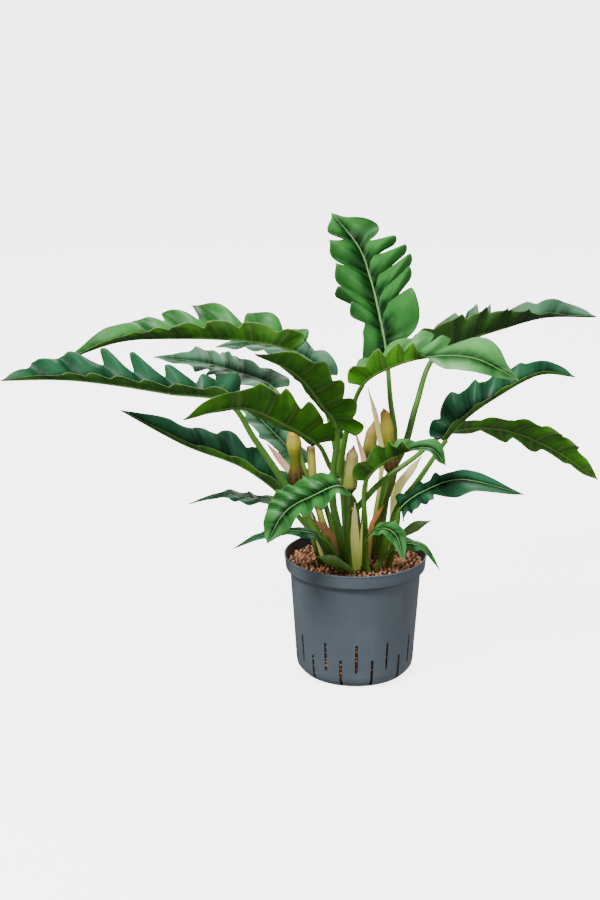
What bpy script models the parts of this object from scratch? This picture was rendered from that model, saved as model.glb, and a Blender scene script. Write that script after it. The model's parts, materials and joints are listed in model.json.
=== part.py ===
"""A potted philodendron: slotted grow pot, granules, crown, leaf stalks, blades, spathes and sheaths.

Metres, +Z up, origin at the middle of the pot's base, the fuller side of the plant towards -Y.
Every place on the plant is given from the middle of the crown's top.
"""

import math

import bmesh
import bpy
from mathutils import Vector

GAP = 0.0003

POT_HEIGHT = 0.190
RIM_RADIUS = 0.110
WALL = 0.0020
FLOOR = 0.0025
BAND_HEIGHT = 0.021
BAND_STEP = 0.0065
BAND_TAPER = 0.0025
BODY_TAPER = 0.0105
CORNER = 0.012
POT_SIDES = 60
SLOT_COUNT = 12
SLOT_WIDTH = 0.0042
HIGH_SLOT = (0.027, 0.074)
LOW_SLOT = (0.004, 0.048)

FILL_DROP = 0.016
CROWN_RADIUS = 0.062
CROWN_DEPTH = 0.060

BLADE_THICK = 0.0012
MIDRIB_THICK = 0.0026
STALK_SIDES = 8
LOBE_STEPS = 2

FILL_TOP = POT_HEIGHT - FILL_DROP
BODY_TOP_RADIUS = RIM_RADIUS - BAND_TAPER - BAND_STEP
BODY_LOW_RADIUS = BODY_TOP_RADIUS - BODY_TAPER
BASE_RADIUS = BODY_LOW_RADIUS - CORNER

# Each leaf: the stalk's radius and its points from the foot up, then the midrib's points from the
# blade's base to its tip. "face" is the way the upper side looks, "half" the widest half widths left
# and right of the midrib, "base" the part of that width at the base, "blunt" how late it tapers,
# "lobes" the lobes on a side, and "cut" how deep they are cut. "fold" is how far the left and right
# halves rise from flat in degrees, "edge" the same near their margins, and "tip_fold" near the tip.
LEAVES = {
    "top": dict(
        radius=0.0050,
        stalk=[(0.036, 0.036, 0), (0.050, 0.038, 0.106), (0.060, 0.040, 0.185), (0.053, 0.050, 0.245)],
        rib=[(0.047, 0.060, 0.310), (0.037, 0.090, 0.364), (0.024, 0.125, 0.415), (0.005, 0.155, 0.463),
             (-0.037, 0.190, 0.510)],
        face=(0.0, -0.9, 0.4), half=(0.060, 0.072), base=0.75, blunt=3.3, lobes=8, cut=0.50,
        fold=(18, 14), edge=(48, 36)),
    "right_high": dict(
        radius=0.0058,
        stalk=[(0.022, 0.056, 0), (0.048, 0.058, 0.105), (0.077, 0.060, 0.170), (0.095, 0.080, 0.230)],
        rib=[(0.120, 0.100, 0.296), (0.177, 0.120, 0.323), (0.235, 0.140, 0.338), (0.300, 0.155, 0.352),
             (0.382, 0.165, 0.350)],
        face=(0.0, -0.2, 0.98), half=(0.048, 0.036), base=0.8, blunt=2.4, lobes=7, cut=0.25,
        fold=(30, 88), edge=(6, 104), tip_fold=(28, 10)),
    "right_front": dict(
        radius=0.0050,
        stalk=[(-0.012, 0.012, 0), (-0.018, 0.012, 0.085), (-0.023, 0.006, 0.150), (-0.014, -0.015, 0.220)],
        rib=[(0.006, -0.040, 0.290), (0.048, -0.080, 0.329), (0.100, -0.120, 0.353), (0.160, -0.160, 0.360),
             (0.219, -0.190, 0.336)],
        face=(0.1, -0.45, 0.88), half=(0.056, 0.034), base=0.9, blunt=3.5, lobes=6, cut=0.30,
        fold=(24, 74), edge=(4, 80), tip_fold=(8, 0)),
    "right_dark": dict(
        radius=0.0050,
        stalk=[(0.040, 0.004, 0), (0.063, 0.004, 0.083), (0.093, 0.000, 0.129)],
        rib=[(0.135, -0.005, 0.196), (0.165, 0.000, 0.229), (0.207, 0.010, 0.257), (0.276, 0.030, 0.289),
             (0.335, 0.050, 0.281)],
        face=(0.0, -0.35, 0.94), half=(0.050, 0.016), base=0.85, blunt=2.4, lobes=6, cut=0.22,
        fold=(32, 80), edge=(10, 90)),
    "right_low": dict(
        radius=0.0048,
        stalk=[(-0.022, -0.006, 0), (-0.012, -0.012, 0.068), (0.018, -0.012, 0.111), (0.042, -0.012, 0.136),
               (0.086, 0.000, 0.166)],
        rib=[(0.145, 0.040, 0.197), (0.230, 0.080, 0.189), (0.312, 0.100, 0.151), (0.387, 0.110, 0.098)],
        face=(0.0, 0.85, 0.5), half=(0.018, 0.040), base=0.6, blunt=3.0, lobes=6, cut=0.2,
        fold=(6, 8), edge=(0, -10)),
    "right_small": dict(
        radius=0.0042,
        stalk=[(0.050, -0.026, 0), (0.061, -0.035, 0.071)],
        rib=[(0.067, -0.042, 0.101), (0.101, -0.055, 0.132), (0.156, -0.070, 0.154), (0.246, -0.085, 0.136)],
        face=(0.0, -0.5, 0.87), half=(0.027, 0.034), base=0.8, blunt=3.0, lobes=5, cut=0.2,
        fold=(10, 8), edge=(-6, -10)),
    "middle": dict(
        radius=0.0042,
        stalk=[(0.014, -0.030, 0), (0.013, -0.045, 0.072)],
        rib=[(0.013, -0.060, 0.150), (0.058, -0.085, 0.197), (0.102, -0.110, 0.214), (0.126, -0.125, 0.193)],
        face=(-0.15, -0.25, 0.95), half=(0.037, 0.033), base=0.9, blunt=2.6, lobes=4, cut=0.2,
        fold=(18, 60), edge=(0, 70), tip_fold=(8, 6)),
    "rim_front": dict(
        radius=0.0036,
        stalk=[(0.018, -0.047, 0), (0.014, -0.052, 0.030)],
        rib=[(0.015, -0.065, 0.062), (0.036, -0.088, 0.084), (0.056, -0.110, 0.080), (0.067, -0.125, 0.045)],
        face=(0.0, -0.3, 0.95), half=(0.024, 0.022), base=0.6, blunt=2.4, lobes=3, cut=0.2,
        fold=(8, 8), edge=(-17, -17)),
    "left_front": dict(
        radius=0.0058,
        stalk=[(-0.014, -0.030, 0), (-0.026, -0.038, 0.060), (-0.036, -0.042, 0.110), (-0.036, -0.050, 0.162)],
        rib=[(-0.031, -0.067, 0.233), (-0.053, -0.092, 0.275), (-0.090, -0.135, 0.332), (-0.148, -0.190, 0.374)],
        face=(0.3, 0.7, 0.6), half=(0.051, 0.017), base=0.8, blunt=3.2, lobes=5, cut=0.2,
        fold=(14, 20), edge=(4, 0)),
    "left_curl": dict(
        radius=0.0048,
        stalk=[(0.004, 0.009, 0), (0.000, 0.006, 0.083), (-0.017, -0.007, 0.120), (-0.040, -0.030, 0.162)],
        rib=[(-0.060, -0.050, 0.204), (-0.109, -0.090, 0.246), (-0.171, -0.130, 0.282), (-0.250, -0.180, 0.277)],
        face=(0.0, 0.75, 0.65), half=(0.050, 0.018), base=0.6, blunt=3.0, lobes=5, cut=0.2,
        fold=(16, 20), edge=(6, 0)),
    "left_high": dict(
        radius=0.0055,
        stalk=[(-0.004, 0.036, 0), (-0.020, 0.045, 0.110), (-0.039, 0.050, 0.213), (-0.061, 0.060, 0.277)],
        rib=[(-0.098, 0.070, 0.316), (-0.175, 0.060, 0.335), (-0.282, 0.040, 0.344), (-0.358, 0.020, 0.343),
             (-0.436, 0.000, 0.320)],
        face=(0.0, -0.35, 0.94), half=(0.034, 0.060), base=0.85, blunt=2.1, lobes=8, cut=0.3,
        fold=(84, 34), edge=(108, 12), tip_fold=(10, 24)),
    "left_long": dict(
        radius=0.0058,
        stalk=[(-0.032, -0.022, 0), (-0.055, -0.022, 0.046), (-0.101, -0.022, 0.121), (-0.153, -0.035, 0.206)],
        rib=[(-0.193, -0.045, 0.266), (-0.276, -0.060, 0.283), (-0.362, -0.075, 0.301), (-0.433, -0.085, 0.311),
             (-0.518, -0.100, 0.313)],
        face=(0.0, -0.35, 0.94), half=(0.018, 0.062), base=0.8, blunt=2.3, lobes=7, cut=0.35,
        fold=(84, 38), edge=(100, 18)),
    "left_back": dict(
        radius=0.0045,
        stalk=[(-0.032, 0.052, 0), (-0.070, 0.060, 0.101), (-0.098, 0.090, 0.186)],
        rib=[(-0.126, 0.120, 0.244), (-0.186, 0.150, 0.263), (-0.244, 0.170, 0.274), (-0.320, 0.190, 0.279)],
        face=(0.0, -0.3, 0.95), half=(0.045, 0.045), base=0.6, blunt=2.4, lobes=5, cut=0.25,
        fold=(20, 20), edge=(-5, -5)),
    "left_low": dict(
        radius=0.0045,
        stalk=[(-0.034, 0.004, 0), (-0.047, 0.010, 0.023), (-0.082, 0.010, 0.063)],
        rib=[(-0.119, 0.010, 0.110), (-0.177, 0.015, 0.150), (-0.261, 0.020, 0.182), (-0.358, 0.020, 0.237)],
        face=(0.0, -0.35, 0.94), half=(0.016, 0.046), base=0.8, blunt=2.2, lobes=6, cut=0.15,
        fold=(80, 26), edge=(90, 6)),
    "left_thin": dict(
        radius=0.0034,
        stalk=[(-0.048, 0.034, 0), (-0.070, 0.050, 0.065)],
        rib=[(-0.112, 0.060, 0.079), (-0.159, 0.070, 0.079), (-0.206, 0.080, 0.083), (-0.260, 0.080, 0.068)],
        face=(0.0, -0.2, 0.98), half=(0.020, 0.020), base=0.4, blunt=2.4, lobes=4, cut=0.15,
        fold=(10, 10), edge=(-15, -15)),
    "front_drop": dict(
        radius=0.0042,
        stalk=[(-0.010, -0.046, 0), (-0.015, -0.058, 0.066)],
        rib=[(-0.022, -0.100, 0.151), (-0.071, -0.130, 0.146), (-0.108, -0.155, 0.130), (-0.133, -0.170, 0.089)],
        face=(-0.2, -0.5, 0.84), half=(0.036, 0.047), base=0.8, blunt=2.8, lobes=4, cut=0.2,
        fold=(6, 4), edge=(-6, -14)),
    "rim_left": dict(
        radius=0.0032,
        stalk=[(-0.026, -0.042, 0), (-0.034, -0.042, 0.034)],
        rib=[(-0.058, -0.046, 0.058), (-0.100, -0.060, 0.071), (-0.142, -0.075, 0.068), (-0.185, -0.080, 0.050)],
        face=(0.0, -0.3, 0.95), half=(0.016, 0.016), base=0.4, blunt=2.4, lobes=3, cut=0.12,
        fold=(10, 10), edge=(-15, -15)),
    "rim_right": dict(
        radius=0.0032,
        stalk=[(0.030, -0.038, 0), (0.044, -0.046, 0.027)],
        rib=[(0.063, -0.052, 0.045), (0.083, -0.058, 0.049), (0.104, -0.062, 0.041), (0.125, -0.066, 0.011)],
        face=(0.0, -0.4, 0.9), half=(0.012, 0.012), base=0.5, blunt=2.4, lobes=2, cut=0.1,
        fold=(10, 10), edge=(-15, -15)),
    "back_high": dict(
        radius=0.0045,
        stalk=[(-0.010, 0.058, 0), (-0.018, 0.080, 0.090), (-0.022, 0.120, 0.178)],
        rib=[(-0.050, 0.170, 0.254), (-0.097, 0.200, 0.286), (-0.158, 0.220, 0.292), (-0.223, 0.230, 0.286)],
        face=(0.0, -0.3, 0.95), half=(0.040, 0.040), base=0.7, blunt=2.4, lobes=5, cut=0.25,
        fold=(20, 20), edge=(-5, -5)),
    "back_low": dict(
        radius=0.0040,
        stalk=[(-0.024, 0.032, 0), (-0.054, 0.060, 0.097)],
        rib=[(-0.085, 0.090, 0.131), (-0.123, 0.110, 0.171), (-0.156, 0.130, 0.198), (-0.193, 0.140, 0.218)],
        face=(0.0, -0.3, 0.95), half=(0.032, 0.032), base=0.6, blunt=2.4, lobes=4, cut=0.2,
        fold=(15, 15), edge=(-10, -10)),
}

# Each round or flattened shoot: its points, the half width at each, and how thick it is for its width.
YOUNG = {
    "front": dict(
        path=[(-0.002, -0.056, 0), (-0.016, -0.062, 0.014), (-0.037, -0.066, 0.026), (-0.060, -0.074, 0.035)],
        half=[0.0030, 0.0050, 0.0090, 0.0010], thick=0.4),
    "back": dict(
        path=[(0.050, 0.032, 0), (0.062, 0.034, 0.022), (0.093, 0.040, 0.043), (0.119, 0.050, 0.050)],
        half=[0.0026, 0.0028, 0.0080, 0.0010], thick=0.35),
}
SPATHES = {
    "left": dict(
        path=[(-0.054, -0.012, 0), (-0.078, -0.002, 0.080), (-0.088, 0.003, 0.112), (-0.090, 0.004, 0.133),
              (-0.092, 0.004, 0.160), (-0.094, 0.004, 0.187), (-0.095, 0.004, 0.203), (-0.095, 0.004, 0.210)],
        half=[0.0036, 0.0036, 0.0056, 0.0132, 0.0090, 0.0116, 0.0086, 0.0012]),
    "right": dict(
        path=[(0.024, 0.020, 0), (0.045, 0.015, 0.086), (0.056, 0.012, 0.130), (0.054, 0.012, 0.152),
              (0.051, 0.012, 0.180), (0.047, 0.012, 0.210), (0.043, 0.012, 0.232), (0.041, 0.012, 0.242)],
        half=[0.0036, 0.0036, 0.0056, 0.0112, 0.0086, 0.0096, 0.0070, 0.0012]),
    "middle": dict(
        path=[(-0.004, -0.018, 0), (-0.010, -0.028, 0.066), (-0.011, -0.034, 0.116), (-0.010, -0.035, 0.135),
              (-0.008, -0.035, 0.160), (-0.007, -0.035, 0.180), (-0.005, -0.035, 0.197)],
        half=[0.0036, 0.0036, 0.0045, 0.0115, 0.0105, 0.0095, 0.0015]),
    "back": dict(
        path=[(0.010, 0.042, 0), (0.016, 0.044, 0.106), (0.019, 0.043, 0.150), (0.022, 0.042, 0.170),
              (0.025, 0.042, 0.192), (0.030, 0.042, 0.218)],
        half=[0.0036, 0.0036, 0.0050, 0.0108, 0.0095, 0.0015]),
}
SHEATHS = {
    "pink_left": dict(
        path=[(-0.050, 0.012, 0), (-0.070, 0.037, 0.066), (-0.095, 0.053, 0.118), (-0.118, 0.057, 0.150),
              (-0.137, 0.058, 0.174)],
        half=[0.0030, 0.0032, 0.0060, 0.0050, 0.0008], thick=0.4),
    "tall": dict(
        path=[(0.020, 0.038, 0), (0.036, 0.030, 0.106), (0.040, 0.022, 0.168), (0.030, 0.021, 0.225),
              (0.017, 0.020, 0.272)],
        half=[0.0025, 0.0028, 0.0050, 0.0040, 0.0008], thick=0.45),
    "thin_middle": dict(
        path=[(0.012, 0.018, 0), (0.014, 0.014, 0.106), (0.012, 0.012, 0.159), (-0.007, 0.012, 0.219)],
        half=[0.0025, 0.0028, 0.0042, 0.0008], thick=0.45),
    "cream_right": dict(
        path=[(0.052, 0.014, 0), (0.056, 0.024, 0.056), (0.064, 0.028, 0.107), (0.084, 0.028, 0.138),
              (0.102, 0.028, 0.163)],
        half=[0.0030, 0.0034, 0.0074, 0.0060, 0.0008], thick=0.4),
    "front": dict(
        path=[(0.000, -0.037, 0), (-0.002, -0.040, 0.053), (-0.003, -0.042, 0.085), (-0.003, -0.043, 0.110)],
        half=[0.0072, 0.0066, 0.0045, 0.0008], thick=0.4),
    "orange": dict(
        path=[(0.020, -0.010, 0), (0.023, -0.008, 0.057), (0.032, -0.010, 0.078), (0.043, -0.012, 0.097)],
        half=[0.0028, 0.0040, 0.0034, 0.0008], thick=0.5),
    "pale_front": dict(
        path=[(0.008, -0.018, 0), (0.009, -0.020, 0.050), (0.011, -0.022, 0.086)],
        half=[0.0022, 0.0026, 0.0008], thick=0.5),
    "dried": dict(
        path=[(-0.021, -0.018, 0), (-0.034, -0.028, 0.046), (-0.050, -0.032, 0.066), (-0.066, -0.034, 0.080)],
        half=[0.0024, 0.0050, 0.0064, 0.0010], thick=0.35),
}
STUBS = {
    "tall": dict(
        path=[(-0.039, 0.021, 0), (-0.056, 0.028, 0.076), (-0.065, 0.021, 0.126), (-0.069, 0.020, 0.179)],
        half=[0.0050, 0.0055, 0.0064, 0.0066]),
    "short": dict(
        path=[(-0.042, -0.006, 0), (-0.049, -0.004, 0.060), (-0.058, -0.002, 0.091)],
        half=[0.0042, 0.0044, 0.0040]),
}


def clear_scene():
    for obj in list(bpy.data.objects):
        bpy.data.objects.remove(obj, do_unlink=True)


def material(name, color, roughness=0.5, coat=0.0):
    made = bpy.data.materials.new(name)
    made.use_nodes = True
    shader = made.node_tree.nodes["Principled BSDF"]
    shader.inputs["Base Color"].default_value = (*color, 1.0)
    shader.inputs["Roughness"].default_value = roughness
    shader.inputs["Coat Weight"].default_value = coat
    return made


def add_object(name, mesh_data, look):
    mesh = bpy.data.meshes.new(name)
    mesh_data.to_mesh(mesh)
    mesh_data.free()
    mesh.materials.append(look)
    mesh.shade_smooth()
    mesh.set_sharp_from_angle(angle=math.radians(40))
    obj = bpy.data.objects.new(name, mesh)
    bpy.context.scene.collection.objects.link(obj)
    return obj


def from_rings(name, rings, look, flat=False):
    """A closed body from rings of equal length, each end closed by a fan, or in strips if it's flat."""
    shape = bmesh.new()
    rows = [[shape.verts.new(point) for point in ring] for ring in rings]
    count = len(rows[0])
    for low, high in zip(rows, rows[1:]):
        for k in range(count):
            n = (k + 1) % count
            shape.faces.new((low[k], low[n], high[n], high[k]))
    for row in (rows[0], rows[-1]):
        if flat:
            for k in range(count // 2 - 1):
                shape.faces.new((row[k], row[k + 1], row[count - 2 - k], row[count - 1 - k]))
            continue
        middle = shape.verts.new(sum((v.co for v in row), Vector()) / count)
        for k in range(count):
            shape.faces.new((row[k], row[(k + 1) % count], middle))
    bmesh.ops.recalc_face_normals(shape, faces=shape.faces)
    return add_object(name, shape, look)


def turned(name, profile, sides, look):
    """A body turned about Z. The profile runs from the axis, round the outside, and back to the axis."""
    shape = bmesh.new()
    first = shape.verts.new((0, 0, profile[0][1]))
    last = shape.verts.new((0, 0, profile[-1][1]))
    rows = []
    for radius, height in profile[1:-1]:
        angles = [2 * math.pi * (k + 0.5) / sides for k in range(sides)]
        rows.append([shape.verts.new((radius * math.cos(a), radius * math.sin(a), height)) for a in angles])
    for low, high in zip(rows, rows[1:]):
        for k in range(sides):
            n = (k + 1) % sides
            shape.faces.new((low[k], low[n], high[n], high[k]))
    for k in range(sides):
        shape.faces.new((rows[0][(k + 1) % sides], rows[0][k], first))
        shape.faces.new((rows[-1][k], rows[-1][(k + 1) % sides], last))
    bmesh.ops.recalc_face_normals(shape, faces=shape.faces)
    return add_object(name, shape, look)


def place(point):
    """A point of the plant, from the middle of the crown's top."""
    return Vector((point[0], point[1], FILL_TOP + GAP + point[2]))


def curve_point(points, at):
    """A smooth curve through the points: at = 0, 1, 2... gives the points themselves."""
    k = min(int(at), len(points) - 2)
    t = at - k
    p1, p2 = points[k], points[k + 1]
    p0 = points[k - 1] if k > 0 else 2 * p1 - p2
    p3 = points[k + 2] if k + 2 < len(points) else 2 * p2 - p1
    a = 2 * p1
    b = p2 - p0
    c = 2 * p0 - 5 * p1 + 4 * p2 - p3
    d = 3 * p1 - p0 - 3 * p2 + p3
    return 0.5 * (a + b * t + c * t * t + d * t * t * t)


def curve_way(points, at):
    step = 0.02
    low = max(at - step, 0)
    high = min(at + step, len(points) - 1)
    return (curve_point(points, high) - curve_point(points, low)).normalized()


def blend(values, at):
    k = min(int(at), len(values) - 2)
    return values[k] + (values[k + 1] - values[k]) * (at - k)


def tube(name, points, half, look, start=0, end=None, thick=1.0, sides=STALK_SIDES, per=2, cut_back=0.0):
    """A tapering tube along the curve from one of its points to another."""
    end = len(points) - 1 if end is None else end
    count = (end - start) * per
    rings = []
    for k in range(count + 1):
        at = start + (end - start) * k / count
        way = curve_way(points, at)
        if k == 0:
            way = Vector((0, 0, 1))
        middle = curve_point(points, at)
        if k == count:
            middle = middle - way * cut_back
        across = way.cross(Vector((0, -1, 0.2))).normalized()
        out = across.cross(way)
        size = blend(half, (at - start) * (len(half) - 1) / (end - start))
        angles = [2 * math.pi * (n + 0.5) / sides for n in range(sides)]
        rings.append([
            middle + across * (size * math.cos(a)) + out * (size * thick * math.sin(a)) for a in angles])
    return from_rings(name, rings, look)


def width_at(u, base, blunt):
    """The blade's half width along the midrib, as a part of its widest."""
    rise = min(u / 0.28, 1)
    rise = rise * rise * (3 - 2 * rise)
    return (base + (1 - base) * rise) * max(1 - u ** blunt, 0) ** 0.85


def rise_at(u, reach, leaf, side):
    """How far a half of the blade rises from flat, in radians: it changes towards the tip and the margin."""
    fold = leaf["fold"][side]
    turn = min(max((u - 0.2) / 0.6, 0), 1)
    turn = turn * turn * (3 - 2 * turn)
    now = fold + (leaf.get("tip_fold", leaf["fold"])[side] - fold) * turn
    return math.radians(now + (leaf["edge"][side] - fold) * (1 - 0.5 * turn) * reach * 0.5)


def blade(name, points, first, leaf, look):
    """A blade along the curve from its point number first to the tip, lobes cut in steps."""
    face = Vector(leaf["face"]).normalized()
    count = leaf["lobes"] * LOBE_STEPS + 1
    span = len(points) - 1 - first
    rings = []
    for k in range(count + 1):
        u = k / count
        at = first + span * u
        way = curve_way(points, at)
        up = (face - way * face.dot(way)).normalized()
        right = way.cross(up)
        middle = curve_point(points, at)
        if k == 0:
            middle = middle + way * GAP
        notch = 1.0 if k % LOBE_STEPS else 1 - leaf["cut"]
        sweep = 0.55 if k else -0.5
        upper, lower = [], []
        for v in (-1, -0.5, 0, 0.5, 1):
            side = leaf["half"][1] if v > 0 else leaf["half"][0]
            size = max(side * width_at(u, leaf["base"], leaf["blunt"]) * notch, 0.0015)
            reach = abs(v)
            forth = sweep * size * (reach if k else max(2 * reach - 1, 0))
            if u > 0.93:
                forth = 0
            rise = rise_at(u, reach, leaf, int(v > 0))
            spot = middle + right * (v * size * math.cos(rise)) + up * (reach * size * math.sin(rise)) + way * forth
            thick = MIDRIB_THICK * (1 - 0.6 * u) if v == 0 else BLADE_THICK
            tilt = up
            if v:
                tilt = up * math.cos(rise) - right * math.copysign(math.sin(rise), v)
            upper.append(spot + tilt * thick / 2)
            lower.append(spot - tilt * thick / 2)
        rings.append(upper + lower[::-1])
    return from_rings(name, rings, look, flat=True)


def pot_profile():
    """The pot's wall from the middle of its underside, over the rim and back down inside."""
    low, top = BODY_LOW_RADIUS, BODY_TOP_RADIUS
    band = POT_HEIGHT - BAND_HEIGHT
    outside = [
        (0, 0), (BASE_RADIUS, 0), (BASE_RADIUS + 0.55 * (low - BASE_RADIUS), 0.16 * CORNER),
        (BASE_RADIUS + 0.88 * (low - BASE_RADIUS), 0.5 * CORNER), (low, CORNER),
        (top, band - 0.003), (RIM_RADIUS - BAND_TAPER, band), (RIM_RADIUS, POT_HEIGHT - 0.0008),
        (RIM_RADIUS - 0.0008, POT_HEIGHT)]
    inside = [
        (RIM_RADIUS - WALL, POT_HEIGHT), (RIM_RADIUS - BAND_TAPER - WALL, band + 0.002),
        (top - WALL, band - 0.002), (low - WALL, CORNER),
        (BASE_RADIUS, FLOOR), (0, FLOOR)]
    return outside + inside


def inner_radius(height):
    """The inside of the pot's wall between the corner and the band."""
    band = POT_HEIGHT - BAND_HEIGHT - 0.002
    part = (height - CORNER) / (band - CORNER)
    return BODY_LOW_RADIUS - WALL + (BODY_TOP_RADIUS - BODY_LOW_RADIUS) * part


def slot_cutter():
    shape = bmesh.new()
    for k in range(2 * SLOT_COUNT):
        low, high = LOW_SLOT if k % 2 else HIGH_SLOT
        turn = -math.pi / 2 + math.pi * k / SLOT_COUNT
        way = Vector((math.cos(turn), math.sin(turn), 0))
        across = Vector((-way.y, way.x, 0))
        near, far = BODY_LOW_RADIUS - 0.012, RIM_RADIUS + 0.01
        verts = bmesh.ops.create_cube(shape, size=1)["verts"]
        for vert in verts:
            x, y, z = vert.co
            vert.co = (way * (near + (x + 0.5) * (far - near)) + across * (y * SLOT_WIDTH)
                       + Vector((0, 0, low + (z + 0.5) * (high - low))))
    bmesh.ops.recalc_face_normals(shape, faces=shape.faces)
    cutter = add_object("slot_cutter", shape, material("cutter", (1, 1, 1)))
    cutter.hide_render = True
    cutter.display_type = "WIRE"
    return cutter


def make_pot():
    pot = turned("pot", pot_profile(), POT_SIDES, material("slate_plastic", (0.13, 0.17, 0.21), 0.42))
    cut = pot.modifiers.new("slots", "BOOLEAN")
    cut.operation = "DIFFERENCE"
    cut.solver = "EXACT"
    cut.object = slot_cutter()


def make_substrate():
    look = material("granules", (0.20, 0.085, 0.05), 0.9)
    room = CROWN_RADIUS + GAP
    floor = FLOOR + GAP
    middle = 0.5 * (CORNER + FILL_TOP)
    band = POT_HEIGHT - BAND_HEIGHT - 0.002
    turned("substrate", [
        (0, floor), (BASE_RADIUS - GAP - 0.001, floor), (inner_radius(CORNER) - 2 * GAP, CORNER + 0.001),
        (inner_radius(middle) - 2 * GAP, middle), (inner_radius(band) - 2 * GAP, min(band, FILL_TOP - 0.002)),
        (inner_radius(band) - 2 * GAP - 0.002, FILL_TOP - 0.0005),
        (0.5 * (room + inner_radius(band)), FILL_TOP - 0.002),
        (room, FILL_TOP), (room, FILL_TOP - CROWN_DEPTH), (0, FILL_TOP - CROWN_DEPTH)], 48, look)


def make_crown():
    look = material("crown", (0.16, 0.12, 0.05), 0.8)
    low = FILL_TOP - CROWN_DEPTH + GAP
    turned("crown", [
        (0, low), (0.75 * CROWN_RADIUS, low), (CROWN_RADIUS, low + 0.4 * CROWN_DEPTH),
        (CROWN_RADIUS, FILL_TOP - 0.001), (CROWN_RADIUS - 0.001, FILL_TOP), (0, FILL_TOP)], 32, look)


def make_leaves():
    green = material("leaf", (0.035, 0.17, 0.06), 0.35, 0.3)
    stem = material("leaf_stalk", (0.09, 0.26, 0.06), 0.4)
    for name, leaf in LEAVES.items():
        stalk = [place(p) for p in leaf.get("stalk", [])]
        rib = [place(p) for p in leaf["rib"]]
        blade("leaf_" + name, stalk + rib, len(stalk), leaf, green)
        size = leaf["radius"]
        widths = [1.15 * size, size, 0.72 * size]
        tube("stalk_" + name, stalk + rib, widths, stem, end=len(stalk), cut_back=GAP)


def make_shoots():
    fresh = material("young_leaf", (0.06, 0.24, 0.06), 0.4)
    olive = material("spathe", (0.30, 0.30, 0.08), 0.45)
    cream = material("sheath", (0.72, 0.52, 0.32), 0.6)
    brown = material("dried_sheath", (0.16, 0.09, 0.05), 0.85)
    stem = material("cut_stalk", (0.22, 0.30, 0.08), 0.5)
    for name, shoot in YOUNG.items():
        points = [place(p) for p in shoot["path"]]
        tube("leaf_young_" + name, points, shoot["half"], fresh, thick=shoot["thick"], sides=6)
    for name, shoot in SPATHES.items():
        tube("spathe_" + name, [place(p) for p in shoot["path"]], shoot["half"], olive)
    for name, shoot in SHEATHS.items():
        look = brown if name == "dried" else cream
        points = [place(p) for p in shoot["path"]]
        tube("sheath_" + name, points, shoot["half"], look, thick=shoot["thick"], sides=6)
    for name, shoot in STUBS.items():
        tube("stub_" + name, [place(p) for p in shoot["path"]], shoot["half"], stem)


clear_scene()
make_pot()
make_substrate()
make_crown()
make_leaves()
make_shoots()
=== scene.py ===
"""Potted philodendron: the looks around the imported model.

Metres, +Z up, the pot's underside at the origin. The tables of the plant are in millimetres, and their
places are from the middle of the crown's top. Leaf blades, stalks, slots and granules are made by node
trees; the spathes, sheaths and the pot's wall are lofts and turned shapes.
"""

import json
import math

import bmesh
import bpy
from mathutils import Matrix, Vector, noise

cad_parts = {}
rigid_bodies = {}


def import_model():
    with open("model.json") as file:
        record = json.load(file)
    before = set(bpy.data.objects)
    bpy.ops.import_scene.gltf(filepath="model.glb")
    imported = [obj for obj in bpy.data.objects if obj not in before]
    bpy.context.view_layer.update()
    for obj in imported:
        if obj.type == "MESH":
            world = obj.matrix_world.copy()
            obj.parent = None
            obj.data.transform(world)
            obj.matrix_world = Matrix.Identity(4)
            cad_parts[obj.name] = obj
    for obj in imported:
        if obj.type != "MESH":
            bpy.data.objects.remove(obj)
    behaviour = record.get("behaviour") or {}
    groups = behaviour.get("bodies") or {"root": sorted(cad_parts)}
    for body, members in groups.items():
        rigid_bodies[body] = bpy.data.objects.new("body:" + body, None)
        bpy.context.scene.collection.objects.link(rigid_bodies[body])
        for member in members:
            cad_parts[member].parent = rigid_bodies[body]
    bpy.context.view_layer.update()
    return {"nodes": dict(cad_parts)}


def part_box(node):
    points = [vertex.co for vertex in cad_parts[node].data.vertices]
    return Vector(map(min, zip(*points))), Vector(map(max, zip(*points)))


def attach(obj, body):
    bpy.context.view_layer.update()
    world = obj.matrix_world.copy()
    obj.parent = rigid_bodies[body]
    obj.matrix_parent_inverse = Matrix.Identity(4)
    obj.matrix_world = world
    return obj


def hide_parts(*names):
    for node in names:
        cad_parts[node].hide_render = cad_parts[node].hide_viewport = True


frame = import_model()

GAP = 0.0003
POT_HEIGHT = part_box("pot")[1].z
RIM_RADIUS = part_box("pot")[1].y
CROWN_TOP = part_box("crown")[1].z
FILL_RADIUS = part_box("substrate")[1].y
FILL_TOP = POT_HEIGHT - 0.016
WALL = 0.0020
THIN_WALL = 0.0011
FLOOR = 0.0025
BAND_HEIGHT = 0.021
BAND_STEP = 0.0065
BAND_TAPER = 0.0025
BODY_TAPER = 0.0105
CORNER = 0.012
SLOT_COUNT = 12
SLOT_WIDTH = 0.0042
SLOT_DEPTH = 0.032
HIGH_SLOT = (0.027, 0.074)
LOW_SLOT = (0.004, 0.048)
BAND_LOW = POT_HEIGHT - BAND_HEIGHT
BODY_TOP_RADIUS = RIM_RADIUS - BAND_TAPER - BAND_STEP
BODY_LOW_RADIUS = BODY_TOP_RADIUS - BODY_TAPER
BASE_RADIUS = BODY_LOW_RADIUS - CORNER
BLADE_THICKNESS = 0.0011
BLADE_ROWS, BLADE_COLUMNS = 220, 85
BLADE_STEPS, STALK_STEPS = 400, 60
STALK_SIDES = 16
STALK_CHANNEL = 0.16
EYE = (-0.0854, -2.657, 1.136)
EYE_TILT = 16.4
LENS = 73.2
LIT = (0, 0, 0.4)
FLOOR_GLOW = 4.0
SKY_POWER = 0.36

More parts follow.
